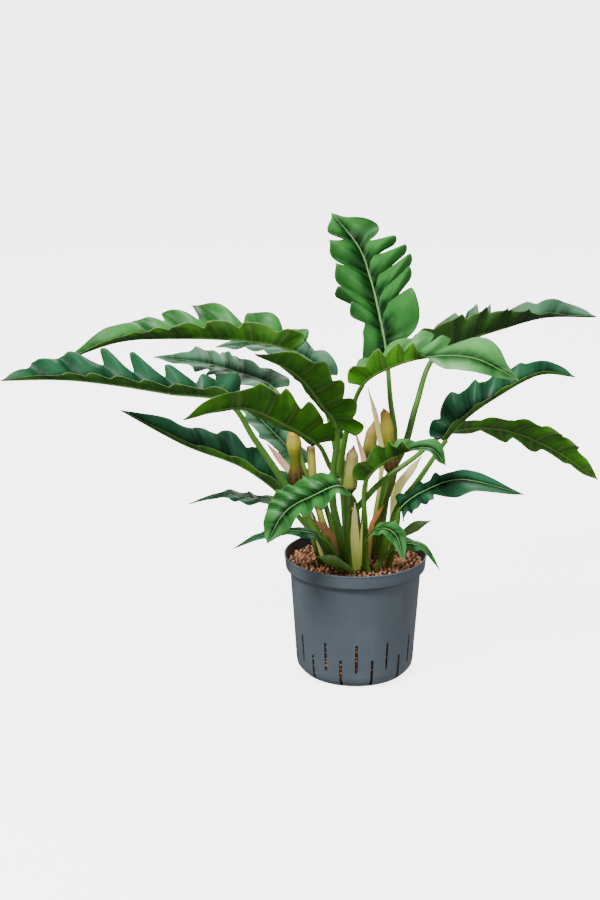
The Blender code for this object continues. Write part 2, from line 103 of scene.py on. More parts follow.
# What a leaf has where it doesn't say. lean is how far its side veins lean towards the tip on either
# side, lean_shift how much less those on the right lean further up, sweep how far all lobes go forwards,
# rib_size the midrib's size for the stalk's, and refold where and how slowly fold becomes tip_fold.
USUAL = dict(
    face=(0.0, -0.35, 0.94), lean=(0.6, 0.6), lean_shift=0.0, sweep=0, rib_size=0.42, refold=0.5,
    refold_span=0.3, pleat=0.11, wave=0.07, blunt=2.4, under="usual", tone="deep")

# Each leaf: the stalk's radius and its points from the foot up, and the midrib's points from base to
# tip. Then the lobes of each side from base to tip, each as (share of the midrib in per cent, reach,
# depth of the gap after it in per cent), or for even lobes the half widths left and right, the share
# of that width at the base, how late it tapers, their number and how deep they are cut. Then the way
# the upper side faces, the fold of the left and right halves and of their margins in degrees, the
# pleats along the side veins, the waves of the margin, a start value for what varies, and the tone.
LEAVES = {
    "top": dict(
        radius=5, stalk=[(36, 36, 0), (50, 38, 106), (60, 40, 185), (53, 50, 245)],
        rib=[(47, 60, 310), (37, 90, 364), (24, 125, 415), (5, 155, 463), (-37, 190, 510)],
        left=[(14, 46, 30), (8, 56, 40), (6, 78, 52), (19.5, 70, 48), (22.5, 60, 64), (30, 30, 100)],
        right=[(7, 28, 0), (13, 70, 82), (10, 72, 86), (10.5, 77, 80), (14.5, 73, 80), (11.5, 62, 68),
               (33.5, 43, 100)], face=(0.0, -0.9, 0.4), fold=(18, 14), edge=(50, 40), lean=(0.2, 0.34),
        lean_shift=1.6, sweep=26, rib_size=0.6, pleat=0.24, wave=0.06, start=1.3, tone="fresh"),
    "right_high": dict(
        radius=5.8, stalk=[(22, 56, 0), (48, 58, 105), (77, 60, 170), (95, 80, 230)],
        rib=[(120, 100, 296), (177, 120, 323), (235, 140, 338), (300, 155, 352), (382, 165, 350)],
        left=[(10, 50, 40), (12, 56, 50), (10, 58, 60), (8, 50, 55), (28, 34, 25), (32, 34, 100)],
        right=[(10, 50, 25), (10, 46, 25), (12, 42, 25), (12, 40, 30), (14, 30, 30), (12, 18, 20),
               (24, 12, 100)], face=(0.0, -0.2, 0.98), fold=(42, 88), edge=(14, 104), tip_fold=(32, 30),
        pleat=0.14, wave=0.09, start=2.1, tone="grey", under="shaded"),
    "right_front": dict(
        radius=5, stalk=[(-12, 12, 0), (-18, 12, 85), (-23, 6, 150), (-14, -15, 220)],
        rib=[(6, -40, 290), (48, -80, 329), (100, -120, 353), (160, -160, 360), (219, -190, 336)],
        left=[(12, 56, 50), (14, 56, 50), (14, 50, 50), (12, 40, 40), (50, 44, 100)],
        right=[(11, 30, 40), (11, 32, 45), (12, 29, 45), (11, 26, 50), (55, 34, 100)],
        face=(0.1, -0.45, 0.88), fold=(24, 96), edge=(4, 100), tip_fold=(4, -14), refold=0.46,
        refold_span=0.12, rib_size=0.3, pleat=0.13, wave=0.13, start=3.7, tone="light"),
    "right_dark": dict(
        radius=5, stalk=[(40, 4, 0), (63, 4, 83), (93, 0, 129)],
        rib=[(135, -5, 196), (165, 0, 229), (207, 10, 257), (276, 30, 289), (335, 50, 281)],
        left=[(12, 36, 20), (14, 48, 22), (14, 42, 20), (14, 34, 15), (14, 28, 15), (32, 24, 100)],
        right=[(20, 12, 30), (20, 11, 30), (20, 9, 30), (40, 6, 100)], fold=(32, 92), edge=(10, 96),
        rib_size=0.2, pleat=0.13, wave=0.08, start=4.2, under="dark"),
    "right_low": dict(
        radius=4.8, stalk=[(-22, -6, 0), (-12, -12, 68), (18, -12, 111), (42, -12, 136), (86, 0, 166)],
        rib=[(145, 40, 197), (230, 80, 189), (312, 100, 151), (387, 110, 98)],
        left=[(20, 12, 30), (20, 26, 50), (20, 22, 50), (20, 12, 30), (20, 10, 100)],
        right=[(16, 22, 20), (16, 26, 15), (14, 34, 15), (14, 36, 20), (14, 30, 30), (26, 18, 100)],
        face=(0.0, 0.85, 0.5), fold=(6, 8), edge=(0, -10), rib_size=0.3, pleat=0.12, wave=0.08, start=5.9),
    "right_small": dict(
        radius=4.2, stalk=[(50, -26, 0), (61, -35, 71)],
        rib=[(67, -42, 101), (101, -55, 132), (156, -70, 154), (246, -85, 136)],
        left=[(15, 22, 30), (15, 22, 30), (15, 22, 20), (55, 21, 100)],
        right=[(12, 24, 35), (12, 28, 40), (14, 28, 50), (62, 34, 100)], face=(0.0, -0.5, 0.87), fold=(8, 8),
        edge=(-8, -10), lean=(0.5, 0.5), pleat=0.13, wave=0.14, start=6.4),
    "middle": dict(
        radius=4.2, stalk=[(14, -30, 0), (13, -45, 72)],
        rib=[(13, -60, 150), (58, -85, 197), (102, -110, 214), (126, -125, 193)],
        left=[(20, 34, 20), (20, 30, 20), (60, 20, 100)],
        right=[(12, 26, 25), (12, 28, 25), (12, 27, 25), (14, 24, 25), (50, 18, 100)],
        face=(-0.15, -0.25, 0.95), fold=(14, 84), edge=(0, 110), tip_fold=(6, 6), lean=(0.5, 0.5), pleat=0.16,
        wave=0.18, start=7.7, tone="fresh", under="dark"),
    "rim_front": dict(
        radius=3.6, stalk=[(18, -47, 0), (14, -52, 30)],
        rib=[(15, -65, 62), (36, -88, 84), (56, -110, 80), (67, -125, 45)],
        left=[(20, 22, 20), (20, 22, 20), (60, 18, 100)], right=[(20, 14, 20), (20, 16, 20), (60, 14, 100)],
        face=(0.1, -0.45, 0.88), fold=(8, 4), edge=(-20, -20), lean=(0.5, 0.5), pleat=0.14, wave=0.12,
        start=8.2, tone="fresh"),
    "left_front": dict(
        radius=5.8, stalk=[(-14, -30, 0), (-26, -38, 60), (-36, -42, 110), (-36, -50, 162)],
        rib=[(-31, -67, 233), (-53, -92, 275), (-90, -135, 332), (-148, -190, 374)],
        left=[(14, 40, 22), (16, 50, 22), (18, 52, 20), (18, 48, 15), (34, 36, 100)],
        right=[(20, 12, 20), (20, 16, 20), (20, 18, 20), (40, 16, 100)], face=(0.3, 0.7, 0.6), fold=(14, 20),
        edge=(4, 0), lean=(0.5, 0.5), pleat=0.1, wave=0.09, start=9.6, tone="fresh"),
    "left_curl": dict(
        radius=4.8, stalk=[(4, 9, 0), (0, 6, 83), (-17, -7, 120), (-40, -30, 162)],
        rib=[(-60, -50, 204), (-109, -90, 246), (-171, -130, 282), (-250, -180, 277)],
        left=[(14, 44, 22), (14, 52, 22), (16, 52, 20), (16, 48, 15), (40, 36, 100)],
        right=[(20, 14, 20), (20, 18, 20), (20, 18, 20), (40, 14, 100)], face=(0.0, 0.75, 0.65),
        fold=(16, 20), edge=(6, 0), lean=(0.5, 0.5), pleat=0.1, wave=0.08, start=10.3),
    "left_high": dict(
        radius=5.5, stalk=[(-4, 36, 0), (-20, 45, 110), (-39, 50, 213), (-61, 60, 277)],
        rib=[(-98, 70, 316), (-175, 60, 335), (-282, 40, 344), (-358, 20, 343), (-436, 0, 320)],
        left=[(12, 34, 35), (12, 32, 35), (12, 32, 40), (12, 28, 35), (12, 22, 30), (14, 14, 20),
              (26, 8, 100)],
        right=[(9, 48, 40), (12, 56, 44), (14, 66, 52), (11, 52, 38), (14, 38, 15), (40, 28, 100)],
        fold=(86, 36), edge=(108, 14), tip_fold=(60, 24), lean=(0.7, 0.7), pleat=0.17, wave=0.1, start=11.8,
        tone="fresh", under="dark"),
    "left_long": dict(
        radius=5.8, stalk=[(-32, -22, 0), (-55, -22, 46), (-101, -22, 121), (-153, -35, 206)],
        rib=[(-193, -45, 266), (-276, -60, 283), (-362, -75, 301), (-433, -85, 311), (-518, -100, 313)],
        left=[(12, 18, 30), (12, 17, 30), (12, 16, 30), (12, 15, 30), (12, 14, 30), (12, 12, 20),
              (28, 8, 100)],
        right=[(8, 48, 30), (6, 36, 40), (9, 46, 40), (13, 54, 50), (12, 54, 42), (20, 42, 14),
               (16, 30, 10), (20, 18, 100)], fold=(88, 38), edge=(104, 18), lean=(0.8, 0.8), pleat=0.18,
        start=12.4, under="shaded"),
    "left_back": dict(
        radius=4.5, stalk=[(-32, 52, 0), (-70, 60, 101), (-98, 90, 186)],
        rib=[(-126, 120, 244), (-186, 150, 263), (-244, 170, 274), (-320, 190, 279)], face=(0.0, -0.3, 0.95),
        half=(45, 45), base=0.6, lobes=5, cut=0.25, fold=(20, 20), start=13.9, tone="grey"),
    "left_low": dict(
        radius=4.5, stalk=[(-34, 4, 0), (-47, 10, 23), (-82, 10, 63)],
        rib=[(-119, 10, 110), (-177, 15, 150), (-261, 20, 182), (-358, 20, 237)],
        left=[(20, 18, 30), (20, 14, 30), (20, 12, 30), (40, 8, 100)],
        right=[(14, 36, 15), (14, 44, 15), (16, 48, 12), (16, 40, 10), (40, 28, 100)], fold=(80, 26),
        edge=(90, 6), pleat=0.12, start=14.6, under="dark"),
    "left_thin": dict(
        radius=3.4, stalk=[(-48, 34, 0), (-70, 50, 65)],
        rib=[(-112, 60, 79), (-159, 70, 79), (-206, 80, 83), (-260, 80, 68)], face=(0.0, -0.2, 0.98),
        half=(20, 20), base=0.4, lobes=4, cut=0.15, fold=(10, 10), start=15.2),
    "front_drop": dict(
        radius=4.2, stalk=[(-10, -46, 0), (-15, -58, 66)],
        rib=[(-22, -100, 151), (-71, -130, 146), (-108, -155, 130), (-133, -170, 89)],
        left=[(14, 22, 20), (16, 28, 20), (18, 30, 25), (52, 26, 100)],
        right=[(10, 34, 20), (11, 42, 20), (11, 44, 20), (12, 42, 20), (12, 36, 20), (12, 30, 25),
               (32, 22, 100)], face=(-0.2, -0.5, 0.84), fold=(6, 6), edge=(-10, -6), lean=(0.5, 0.5),
        pleat=0.1, wave=0.18, start=16.1, tone="fresh"),
    "rim_left": dict(
        radius=3.2, stalk=[(-26, -42, 0), (-34, -42, 34)],
        rib=[(-58, -46, 58), (-100, -60, 71), (-142, -75, 68), (-185, -80, 50)], face=(0.0, -0.3, 0.95),
        half=(16, 16), base=0.4, lobes=3, cut=0.12, fold=(10, 10), start=17.5),
    "rim_right": dict(
        radius=3.2, stalk=[(30, -38, 0), (44, -46, 27)],
        rib=[(63, -52, 45), (83, -58, 49), (104, -62, 41), (125, -66, 11)], face=(0.0, -0.4, 0.9),
        half=(12, 12), base=0.5, lobes=2, cut=0.1, fold=(10, 10), wave=0.05, start=18.8, tone="fresh"),
    "back_high": dict(
        radius=4.5, stalk=[(-10, 58, 0), (-18, 80, 90), (-22, 120, 178)],
        rib=[(-50, 170, 254), (-97, 200, 286), (-158, 220, 292), (-223, 230, 286)], face=(0.0, -0.3, 0.95),
        half=(40, 40), base=0.7, lobes=5, cut=0.25, fold=(20, 20), wave=0.08, start=19.3, tone="grey"),
    "back_low": dict(
        radius=4, stalk=[(-24, 32, 0), (-54, 60, 97)],
        rib=[(-85, 90, 131), (-123, 110, 171), (-156, 130, 198), (-193, 140, 218)], face=(0.0, -0.3, 0.95),
        half=(32, 32), base=0.6, lobes=4, cut=0.2, fold=(15, 15), start=20.7, tone="grey"),
}

# Shoots: the path from the foot up, and the half widths along it.
YOUNG = {
    "front": dict(
        path=[(-2, -56, 0), (-16, -62, 14), (-37, -66, 26), (-60, -74, 35)], half=[3, 5, 9, 1], thick=0.4),
    "back": dict(
        path=[(50, 32, 0), (62, 34, 22), (93, 40, 43), (119, 50, 50)], half=[2.6, 2.8, 8, 1], thick=0.35),
}
SPATHES = {
    "left": dict(
        path=[(-54, -12, 0), (-78, -2, 80), (-88, 3, 112), (-90, 4, 133), (-92, 4, 160), (-94, 4, 187),
              (-95, 4, 203), (-95, 4, 210)], half=[3.6, 3.6, 5.6, 13.8, 8.4, 11.8, 9, 1.2]),
    "right": dict(
        path=[(24, 20, 0), (45, 15, 86), (56, 12, 130), (54, 12, 152), (51, 12, 180), (47, 12, 210),
              (43, 12, 232), (41, 12, 242)], half=[3.6, 3.6, 5.6, 11.8, 8.2, 10, 7.4, 1.2]),
    "middle": dict(
        path=[(-4, -18, 0), (-10, -28, 66), (-11, -34, 116), (-10, -35, 135), (-8, -35, 160),
              (-7, -35, 180), (-5, -35, 197)], half=[3.6, 3.6, 4.5, 11.5, 10.5, 9.5, 1.5]),
    "back": dict(
        path=[(10, 42, 0), (16, 44, 106), (19, 43, 150), (22, 42, 170), (25, 42, 192), (30, 42, 218)],
        half=[3.6, 3.6, 5, 10.8, 9.5, 1.5]),
}
SHEATHS = {
    "pink_left": dict(
        path=[(-50, 12, 0), (-70, 37, 66), (-95, 53, 118), (-118, 57, 150), (-137, 58, 174)],
        half=[3, 3.2, 6, 5, 0.8], thick=0.4, tone="pink_sheath"),
    "tall": dict(
        path=[(20, 38, 0), (36, 30, 106), (40, 22, 168), (30, 21, 225), (17, 20, 272)],
        half=[2.5, 2.8, 5, 4, 0.8], thick=0.45, tone="straw_sheath"),
    "thin_middle": dict(
        path=[(12, 18, 0), (14, 14, 106), (12, 12, 159), (-7, 12, 219)], half=[2.5, 2.8, 4.2, 0.8],
        thick=0.45, tone="pink_sheath"),
    "cream_right": dict(
        path=[(52, 14, 0), (56, 24, 56), (64, 28, 107), (84, 28, 138), (102, 28, 163)],
        half=[3, 3.4, 7.4, 6, 0.8], thick=0.4, tone="straw_sheath"),
    "front": dict(
        path=[(0, -37, 0), (-2, -40, 53), (-3, -42, 85), (-3, -43, 110)], half=[7.2, 6.6, 4.5, 0.8],
        thick=0.4, tone="straw_sheath"),
    "orange": dict(
        path=[(20, -10, 0), (23, -8, 57), (32, -10, 78), (43, -12, 97)], half=[2.8, 4, 3.4, 0.8], thick=0.5,
        tone="orange_sheath"),
    "pale_front": dict(
        path=[(8, -18, 0), (9, -20, 50), (11, -22, 86)], half=[2.2, 2.6, 0.8], thick=0.5,
        tone="straw_sheath"),
    "dried": dict(
        path=[(-21, -18, 0), (-34, -28, 46), (-50, -32, 66), (-66, -34, 80)], half=[2.4, 5, 6.4, 1],
        thick=0.35, tone="dried_sheath"),
}
STUBS = {
    "tall": dict(
        path=[(-39, 21, 0), (-56, 28, 76), (-65, 21, 126), (-69, 20, 179)], half=[5, 5.5, 6.4, 6.6]),
    "short": dict(
        path=[(-42, -6, 0), (-49, -4, 60), (-58, -2, 91)], half=[4.2, 4.4, 4]),
}

# ---------------------------------------------------------------- paths


def place(point):
    return Vector((point[0] / 1000, point[1] / 1000, CROWN_TOP + GAP + point[2] / 1000))


def curve_point(points, at):
    """A smooth curve through the points: at = 0, 1, 2... gives the points themselves."""
    k = min(int(at), len(points) - 2)
    t = at - k
    p1, p2 = points[k], points[k + 1]
    p0 = points[k - 1] if k > 0 else 2 * p1 - p2
    p3 = points[k + 2] if k + 2 < len(points) else 2 * p2 - p1
    b = p2 - p0
    c = 2 * p0 - 5 * p1 + 4 * p2 - p3
    d = 3 * p1 - p0 - 3 * p2 + p3
    return 0.5 * (2 * p1 + b * t + c * t * t + d * t * t * t)


def blend(values, at):
    k = min(int(at), len(values) - 2)
    return values[k] + (values[k + 1] - values[k]) * smooth_step(at - k, 0, 1)


def smooth_step(value, low, high):
    t = min(max((value - low) / (high - low), 0), 1)
    return t * t * (3 - 2 * t)


def new_piece(name, mesh):
    piece = bpy.data.objects.new(name, mesh)
    bpy.context.scene.collection.objects.link(piece)
    return piece


def chain(name, points, first, last, count, **rules):
    """A chain of edges along part of a smooth curve. Each rule gives an attribute its value from how far
    along the chain a point is, 0 to 1."""
    mesh = bpy.data.meshes.new(name)
    spots = [curve_point(points, first + (last - first) * k / count) for k in range(count + 1)]
    mesh.from_pydata(spots, [(k, k + 1) for k in range(count)], [])
    for key, rule in rules.items():
        values = mesh.attributes.new(key, "FLOAT", "POINT")
        for k in range(count + 1):
            values.data[k].value = rule(k / count)
    return new_piece(name, mesh)


def lobed_side(lobes, start):
    """Two rules for one side of a blade, from u: how wide it is, and how many lobes lie behind. A lobe
    swells quickly and drops back steeply, and the last one ends the blade."""
    total = sum(share for share, _, _ in lobes)
    ends, at = [], 0.0
    for share, _, _ in lobes:
        ends.append((at, at + share / total))
        at += share / total
    sizes = [(reach / 1000, gap / 100) for _, reach, gap in lobes]

    def place_in(u):
        for k, (low, high) in enumerate(ends):
            if u <= high or k == len(ends) - 1:
                return k, min(max((u - low) / (high - low), 0), 1)

    def phase(u):
        k, t = place_in(u)
        return start + k + min(t, 0.9999)

    def width(u):
        k, t = place_in(u)
        reach, gap = sizes[k]
        last = k == len(lobes) - 1
        peak = 0.30 if last else 0.66
        if t < peak:
            before = sizes[k - 1][0] * (1 - sizes[k - 1][1]) if k else 0.62 * reach
            return before + (reach - before) * (1 - (1 - t / peak) ** 2.3)
        fall = (t - peak) / (1 - peak)
        if last:
            return max(reach * (1 - fall ** 1.25), 0.0006)
        return reach * (1 - gap * (0.15 * fall + 0.85 * smooth_step(fall, 0.25, 1)))

    return width, phase


def even_lobes(leaf, half, seed):
    """Lobes for a side that gives only how wide it is: uneven, and shallower near the tip."""
    count = leaf["lobes"]
    lobes = []
    for k in range(count):
        u = (k + 0.6) / count
        share = 1 + 0.32 * math.sin(2.4 * k + seed * 1.7) + (1.2 if k == count - 1 else 0)
        whole = leaf["base"] + (1 - leaf["base"]) * smooth_step(u, 0, 0.28)
        taper = max(1 - (0.9 * u) ** leaf["blunt"], 0) ** 0.85
        reach = half * whole * taper * (1 + 0.12 * math.sin(1.9 * k + seed * 2.3))
        gap = 100 * leaf["cut"] * (1 + 0.35 * math.sin(3.1 * k + seed)) * (0.5 if k == count - 2 else 1)
        lobes.append((share, reach, gap))
    return lobes


# ---------------------------------------------------------------- node trees


class Quantity:
    """A number or a direction in a node tree, so that a rule for a shape can be written as a sum."""

    def __init__(self, tree, socket):
        self.tree, self.socket = tree, socket

    def math(self, operation, *others, **settings):
        node = self.tree.node(self.kind, dict(operation=operation, **settings))
        for slot, value in zip(node.inputs, (self, *others)):
            self.tree.put(value, slot)
        if operation == "DOT_PRODUCT":
            return Amount(self.tree, node.outputs[1])
        return type(self)(self.tree, node.outputs[0])

    def __add__(self, other):
        return self.math("ADD", other)

    def __sub__(self, other):
        return self.math("SUBTRACT", other)


class Amount(Quantity):
    kind = "ShaderNodeMath"
    __radd__ = Quantity.__add__

    def __rsub__(self, other):
        return self * -1 + other

    def __mul__(self, other):
        return self.math("MULTIPLY", other)

    __rmul__ = __mul__

    def __truediv__(self, other):
        return self.math("DIVIDE", other)

    def __pow__(self, other):
        return self.math("POWER", other)

    def step(self, low, high):
        """0 under low, 1 over high, and a smooth rise between."""
        t = ((self - low) / (high - low)).math("ADD", 0, use_clamp=True)
        return t * t * (3 - 2 * t)

    def bell(self, middle, width):
        """1 at the middle, falling away over the width."""
        t = (self - middle) / width
        return (t * t * -1).math("EXPONENT")


class Arrow(Quantity):
    kind = "ShaderNodeVectorMath"

    def __mul__(self, amount):
        node = self.tree.node(self.kind, dict(operation="SCALE"), Vector=self, Scale=amount)
        return Arrow(self.tree, node.outputs[0])


class Tree:
    """A node tree, and short ways to add to it. Inputs go by name, with _ for a space."""

    def __init__(self, tree):
        self.tree = tree

    def put(self, value, slot):
        if isinstance(value, Quantity):
            value = value.socket
        if isinstance(value, bpy.types.NodeSocket):
            self.tree.links.new(value, slot)
        else:
            slot.default_value = value

    def node(self, kind, settings=None, **inputs):
        node = self.tree.nodes.new(kind)
        for name, value in (settings or {}).items():
            setattr(node, name, value)
        for name, value in inputs.items():
            self.put(value, node.inputs[name.replace("_", " ")])
        return node

    def shape(self, kind, settings=None, **inputs):
        return self.node("GeometryNode" + kind, settings, **inputs).outputs[0]

    def number(self, kind, settings=None, **inputs):
        return Amount(self, self.node(kind, settings, **inputs).outputs[0])

    def axes(self, vector):
        split = self.node("ShaderNodeSeparateXYZ", Vector=vector)
        return [Amount(self, output) for output in split.outputs]

    def vector(self, x, y, z):
        return self.node("ShaderNodeCombineXYZ", X=x, Y=y, Z=z).outputs[0]


class ShapeTree(Tree):
    """A geometry tree with named inputs: numbers, and others with their kinds."""

    def __init__(self, name, numbers, **others):
        super().__init__(bpy.data.node_groups.new(name, "GeometryNodeTree"))
        kinds = {"shape": "Geometry", **{key: "Float" for key in numbers.split()}, **others}
        new_socket = self.tree.interface.new_socket
        self.ids = {}
        for key, kind in kinds.items():
            made = new_socket(key.replace("_", " "), in_out="INPUT", socket_type="NodeSocket" + kind)
            self.ids[key] = made.identifier
        new_socket("shape", in_out="OUTPUT", socket_type="NodeSocketGeometry")
        self.ask = dict(zip(kinds, self.node("NodeGroupInput").outputs))

    def want(self, key):
        return Amount(self, self.ask[key])

    def position(self):
        return Arrow(self, self.shape("InputPosition"))

    def named(self, name, kind="FLOAT"):
        return self.number("GeometryNodeInputNamedAttribute", dict(data_type=kind), Name=name)

    def store(self, shape, name, value, kind="FLOAT", domain="POINT"):
        return self.shape("StoreNamedAttribute", dict(data_type=kind, domain=domain), Geometry=shape,
                          Name=name, Value=value)

    def varied(self, along, scale, detail=1.0):
        """A number that wanders between about -1 and 1 as the other grows."""
        wander = self.number("ShaderNodeTexNoise", dict(noise_dimensions="1D"), W=along, Scale=scale,
                             Detail=detail)
        return (wander - 0.5) * 2.6

    def end(self, shape, **materials):
        """Realize Instances and Set Material. Each material goes where its value says."""
        shape = self.shape("RealizeInstances", Geometry=shape)
        for key, chosen in materials.items():
            shape = self.shape("SetMaterial", Geometry=shape, Material=self.ask[key], Selection=chosen)
        self.put(shape, self.node("NodeGroupOutput").inputs[0])
        return self


def grown(obj, tree, **values):
    """Runs the tree on the object, with inputs by name, and leaves a plain mesh."""
    modifier = obj.modifiers.new("grow", "NODES")
    modifier.node_group = tree.tree
    for key, value in values.items():
        modifier[tree.ids[key]] = value
    obj.update_tag()
    graph = bpy.context.evaluated_depsgraph_get()
    mesh = bpy.data.meshes.new_from_object(obj.evaluated_get(graph), depsgraph=graph)
    obj.modifiers.clear()
    name = obj.name
    bpy.data.objects.remove(obj)
    mesh.name = name
    return new_piece(name, mesh)


def leaf_tree():
    """A lobed blade along a chain: a closed skin whose upper and under sides are one sheet, joined at
    the margins. Rows of points follow the side veins, which lean towards the tip. The chain says how
    wide each side is, and how far along its lobe each row is."""
    tree = ShapeTree(
        "leaf_blade", "left_fold left_edge left_tip_fold left_lean right_fold right_edge right_tip_fold "
        "right_lean lean_shift sweep refold refold_span pleat wave midrib thickness start",
        face="Vector", rows="Int", columns="Int", under="Material", upper="Material")
    want = tree.want
    sheet = tree.shape("MeshGrid", Size_X=1.0, Size_Y=1.0, Vertices_X=tree.ask["rows"],
                       Vertices_Y=tree.ask["columns"])
    u, around = (axis + 0.5 for axis in tree.axes(tree.position())[:2])
    v = 1 - (around * 4 - 2).math("ABSOLUTE")
    upper = around.math("GREATER_THAN", 0.5)
    side = v.math("SIGN")
    right = v.math("GREATER_THAN", 0.0)
    out = v.math("ABSOLUTE") ** 1.3

    line = tree.shape("MeshToCurve", Mesh=tree.ask["shape"])

    def along_line(name):
        return Amount(tree, tree.shape("SampleCurve", dict(mode="FACTOR", data_type="FLOAT"), Curves=line,
                                       Value=tree.named(name), Factor=u))

    def sided(find, name):
        return right * find("right_" + name) + (1 - right) * find("left_" + name)

    sample = tree.node("GeometryNodeSampleCurve", dict(mode="FACTOR"), Curves=line, Factor=u)
    middle = Arrow(tree, sample.outputs["Position"])
    way = Arrow(tree, sample.outputs["Tangent"]).math("NORMALIZE")
    turn = u.step(want("refold") - want("refold_span"), want("refold") + want("refold_span"))
    face = Arrow(tree, tree.ask["face"])
    up = (face - way * face.math("DOT_PRODUCT", way)).math("NORMALIZE")
    across = way.math("CROSS_PRODUCT", up)

    seed = want("start") + right * 5.3
    lobe = sided(along_line, "lobe")
    part = lobe.math("FRACT")
    reach = sided(along_line, "half") * out
    calm = 1 - u.step(0.86, 1.0) * 0.85

    less = want("lean_shift") * (0.2 * (1 - u.step(0.05, 0.26)) - (u - 0.3))
    lean = sided(want, "lean") + right * less
    forth = reach * (lean * u.step(0.02, 0.3) * (0.45 + 0.55 * out) - 0.5 * (1 - u.step(0.0, 0.2)))
    bend = 1 - (1 - out) ** 2
    forth = forth + want("sweep") * bend * u.step(0.0, 0.2) * (1 - u.step(0.75, 1.0))
    forth = forth * (1 - u.step(0.93, 1.0))
    jitter = 1 + 0.18 * tree.varied(u + seed, 2.3)
    fold = sided(want, "fold")
    curl = sided(want, "edge") - fold
    fold = (fold * (1 - turn) + sided(want, "tip_fold") * turn) * jitter
    angle = (fold + curl * (1 - turn * 0.5) * out * 0.5) * (math.pi / 180)
    high, flat = angle.math("SINE"), angle.math("COSINE")
    outward = across * (side * flat) + up * high
    normal = up * flat - across * (side * high)
    crease = ((part - 0.5) * (2 * math.pi)).math("COSINE")
    pillow = (crease * -1 + 0.2) * want("pleat") * (1 - 0.45 * out)
    small = tree.varied(lobe * 2.7 + seed, 1.0) * tree.varied(out * 3 + seed, 1.0) * 0.35 * want("pleat")
    wave = ((lobe * (2 * math.pi) + 0.9 + tree.varied(u + seed, 4.0)).math("SINE") * 0.7
            + tree.varied(lobe * 1.3 + seed, 1.0) * 0.9) * want("wave")
    lift = reach * (pillow + small + wave * out * out) * calm

    rib_size = want("midrib") * (1 - 0.72 * u)
    rib = (reach * (1 - upper * 0.3)).bell(0.0, rib_size)
    ends = u.step(0.0, 0.006) * (1 - u.step(0.992, 1.0))
    skin = want("thickness") * 0.5 * (1 - out ** 14).math("MAXIMUM", 0.0) ** 0.5
    thick = ends * (skin + rib * rib_size * (1.5 - 1.0 * upper))
    spot = middle + outward * reach + way * forth + normal * (lift + thick * (upper * 2 - 1))

    vein = part.bell(0.5, 0.045) * out.step(0.02, 0.1)
    for name, value in (("midrib", reach.bell(0.0, rib_size * 0.8)), ("vein", vein),
                        ("margin", out.step(0.95, 0.995)), ("lobe", lobe), ("out", out),
                        ("pillow", crease * -0.5 + 0.5)):
        sheet = tree.store(sheet, name, value)
    sheet = tree.store(sheet, "upper", upper, "BOOLEAN", "FACE")
    sheet = tree.store(sheet, "UVMap", tree.vector(u, v * 0.5 + 0.5, 0.0), "FLOAT2", "CORNER")
    shape = tree.shape("SetPosition", Geometry=sheet, Position=spot)
    shape = tree.shape("MergeByDistance", Geometry=shape, Distance=0.00001)
    shape = tree.shape("SetShadeSmooth", Geometry=shape)
    return tree.end(shape, under=True, upper=tree.named("upper", "BOOLEAN"))


def stalk_tree():
    """A stalk along a chain: nearly round, with a shallow channel on one side."""
    tree = ShapeTree("leaf_stalk", "channel", sides="Int", material="Material")
    line = tree.shape("MeshToCurve", Mesh=tree.ask["shape"])
    ring = tree.shape("CurvePrimitiveCircle", Resolution=tree.ask["sides"], Radius=1.0)
    spot = tree.position()
    x, y, _ = tree.axes(spot)
    dent = 1 - y.math("ARCTAN2", x).bell(math.pi / 2, 0.5) * tree.want("channel")
    ring = tree.shape("SetPosition", Geometry=ring, Position=spot * dent)
    skin = tree.shape("CurveToMesh", Curve=line, Profile_Curve=ring, Scale=tree.named("radius"),
                      Fill_Caps=True)
    return tree.end(tree.shape("SetShadeSmooth", Geometry=skin), material=True)


def granule_tree():
    """Crushed granules over a surface: a few lumpy shapes, each turned and sized by chance."""
    tree = ShapeTree("granules", "spacing least_size most_size lumps", seed="Int", material="Material")
    seed = tree.ask["seed"]
    spread = tree.shape("DistributePointsOnFaces", dict(distribute_method="POISSON"), Mesh=tree.ask["shape"],
                        Distance_Min=tree.ask["spacing"], Density_Max=400000.0, Seed=seed)
    ball = tree.shape("MeshIcoSphere", Radius=1.0, Subdivisions=2)
    join = tree.node("GeometryNodeJoinGeometry")
    for k in range(5):
        spot = tree.position()
        lump = tree.number("ShaderNodeTexNoise", dict(noise_dimensions="4D"), Vector=spot, W=3.7 * k,
                           Scale=1.1, Detail=2.0)
        swell = 1 + (lump - 0.5) * tree.want("lumps")
        rock = tree.shape("SetPosition", Geometry=ball, Position=spot * swell)
        rock = tree.shape("Transform", Geometry=rock, Scale=(1.0, 0.86 - 0.04 * k, 0.74))
        tree.put(tree.shape("GeometryToInstance", Geometry=rock), join.inputs[0])
    turn = tree.node("FunctionNodeRandomValue", dict(data_type="FLOAT_VECTOR"), Seed=seed,
                     Max=(6.28, 6.28, 6.28))
    size = tree.node("FunctionNodeRandomValue", dict(data_type="FLOAT"), Seed=seed)
    tree.put(tree.ask["least_size"], size.inputs[2])
    tree.put(tree.ask["most_size"], size.inputs[3])
    rocks = tree.shape("InstanceOnPoints", Points=spread, Instance=join.outputs[0], Pick_Instance=True,
                       Rotation=turn.outputs[0], Scale=size.outputs[1])
    tone = tree.node("FunctionNodeRandomValue", dict(data_type="FLOAT"), Seed=7)
    return tree.end(tree.store(rocks, "tone", tone.outputs[1], "FLOAT", "INSTANCE"), material=True)


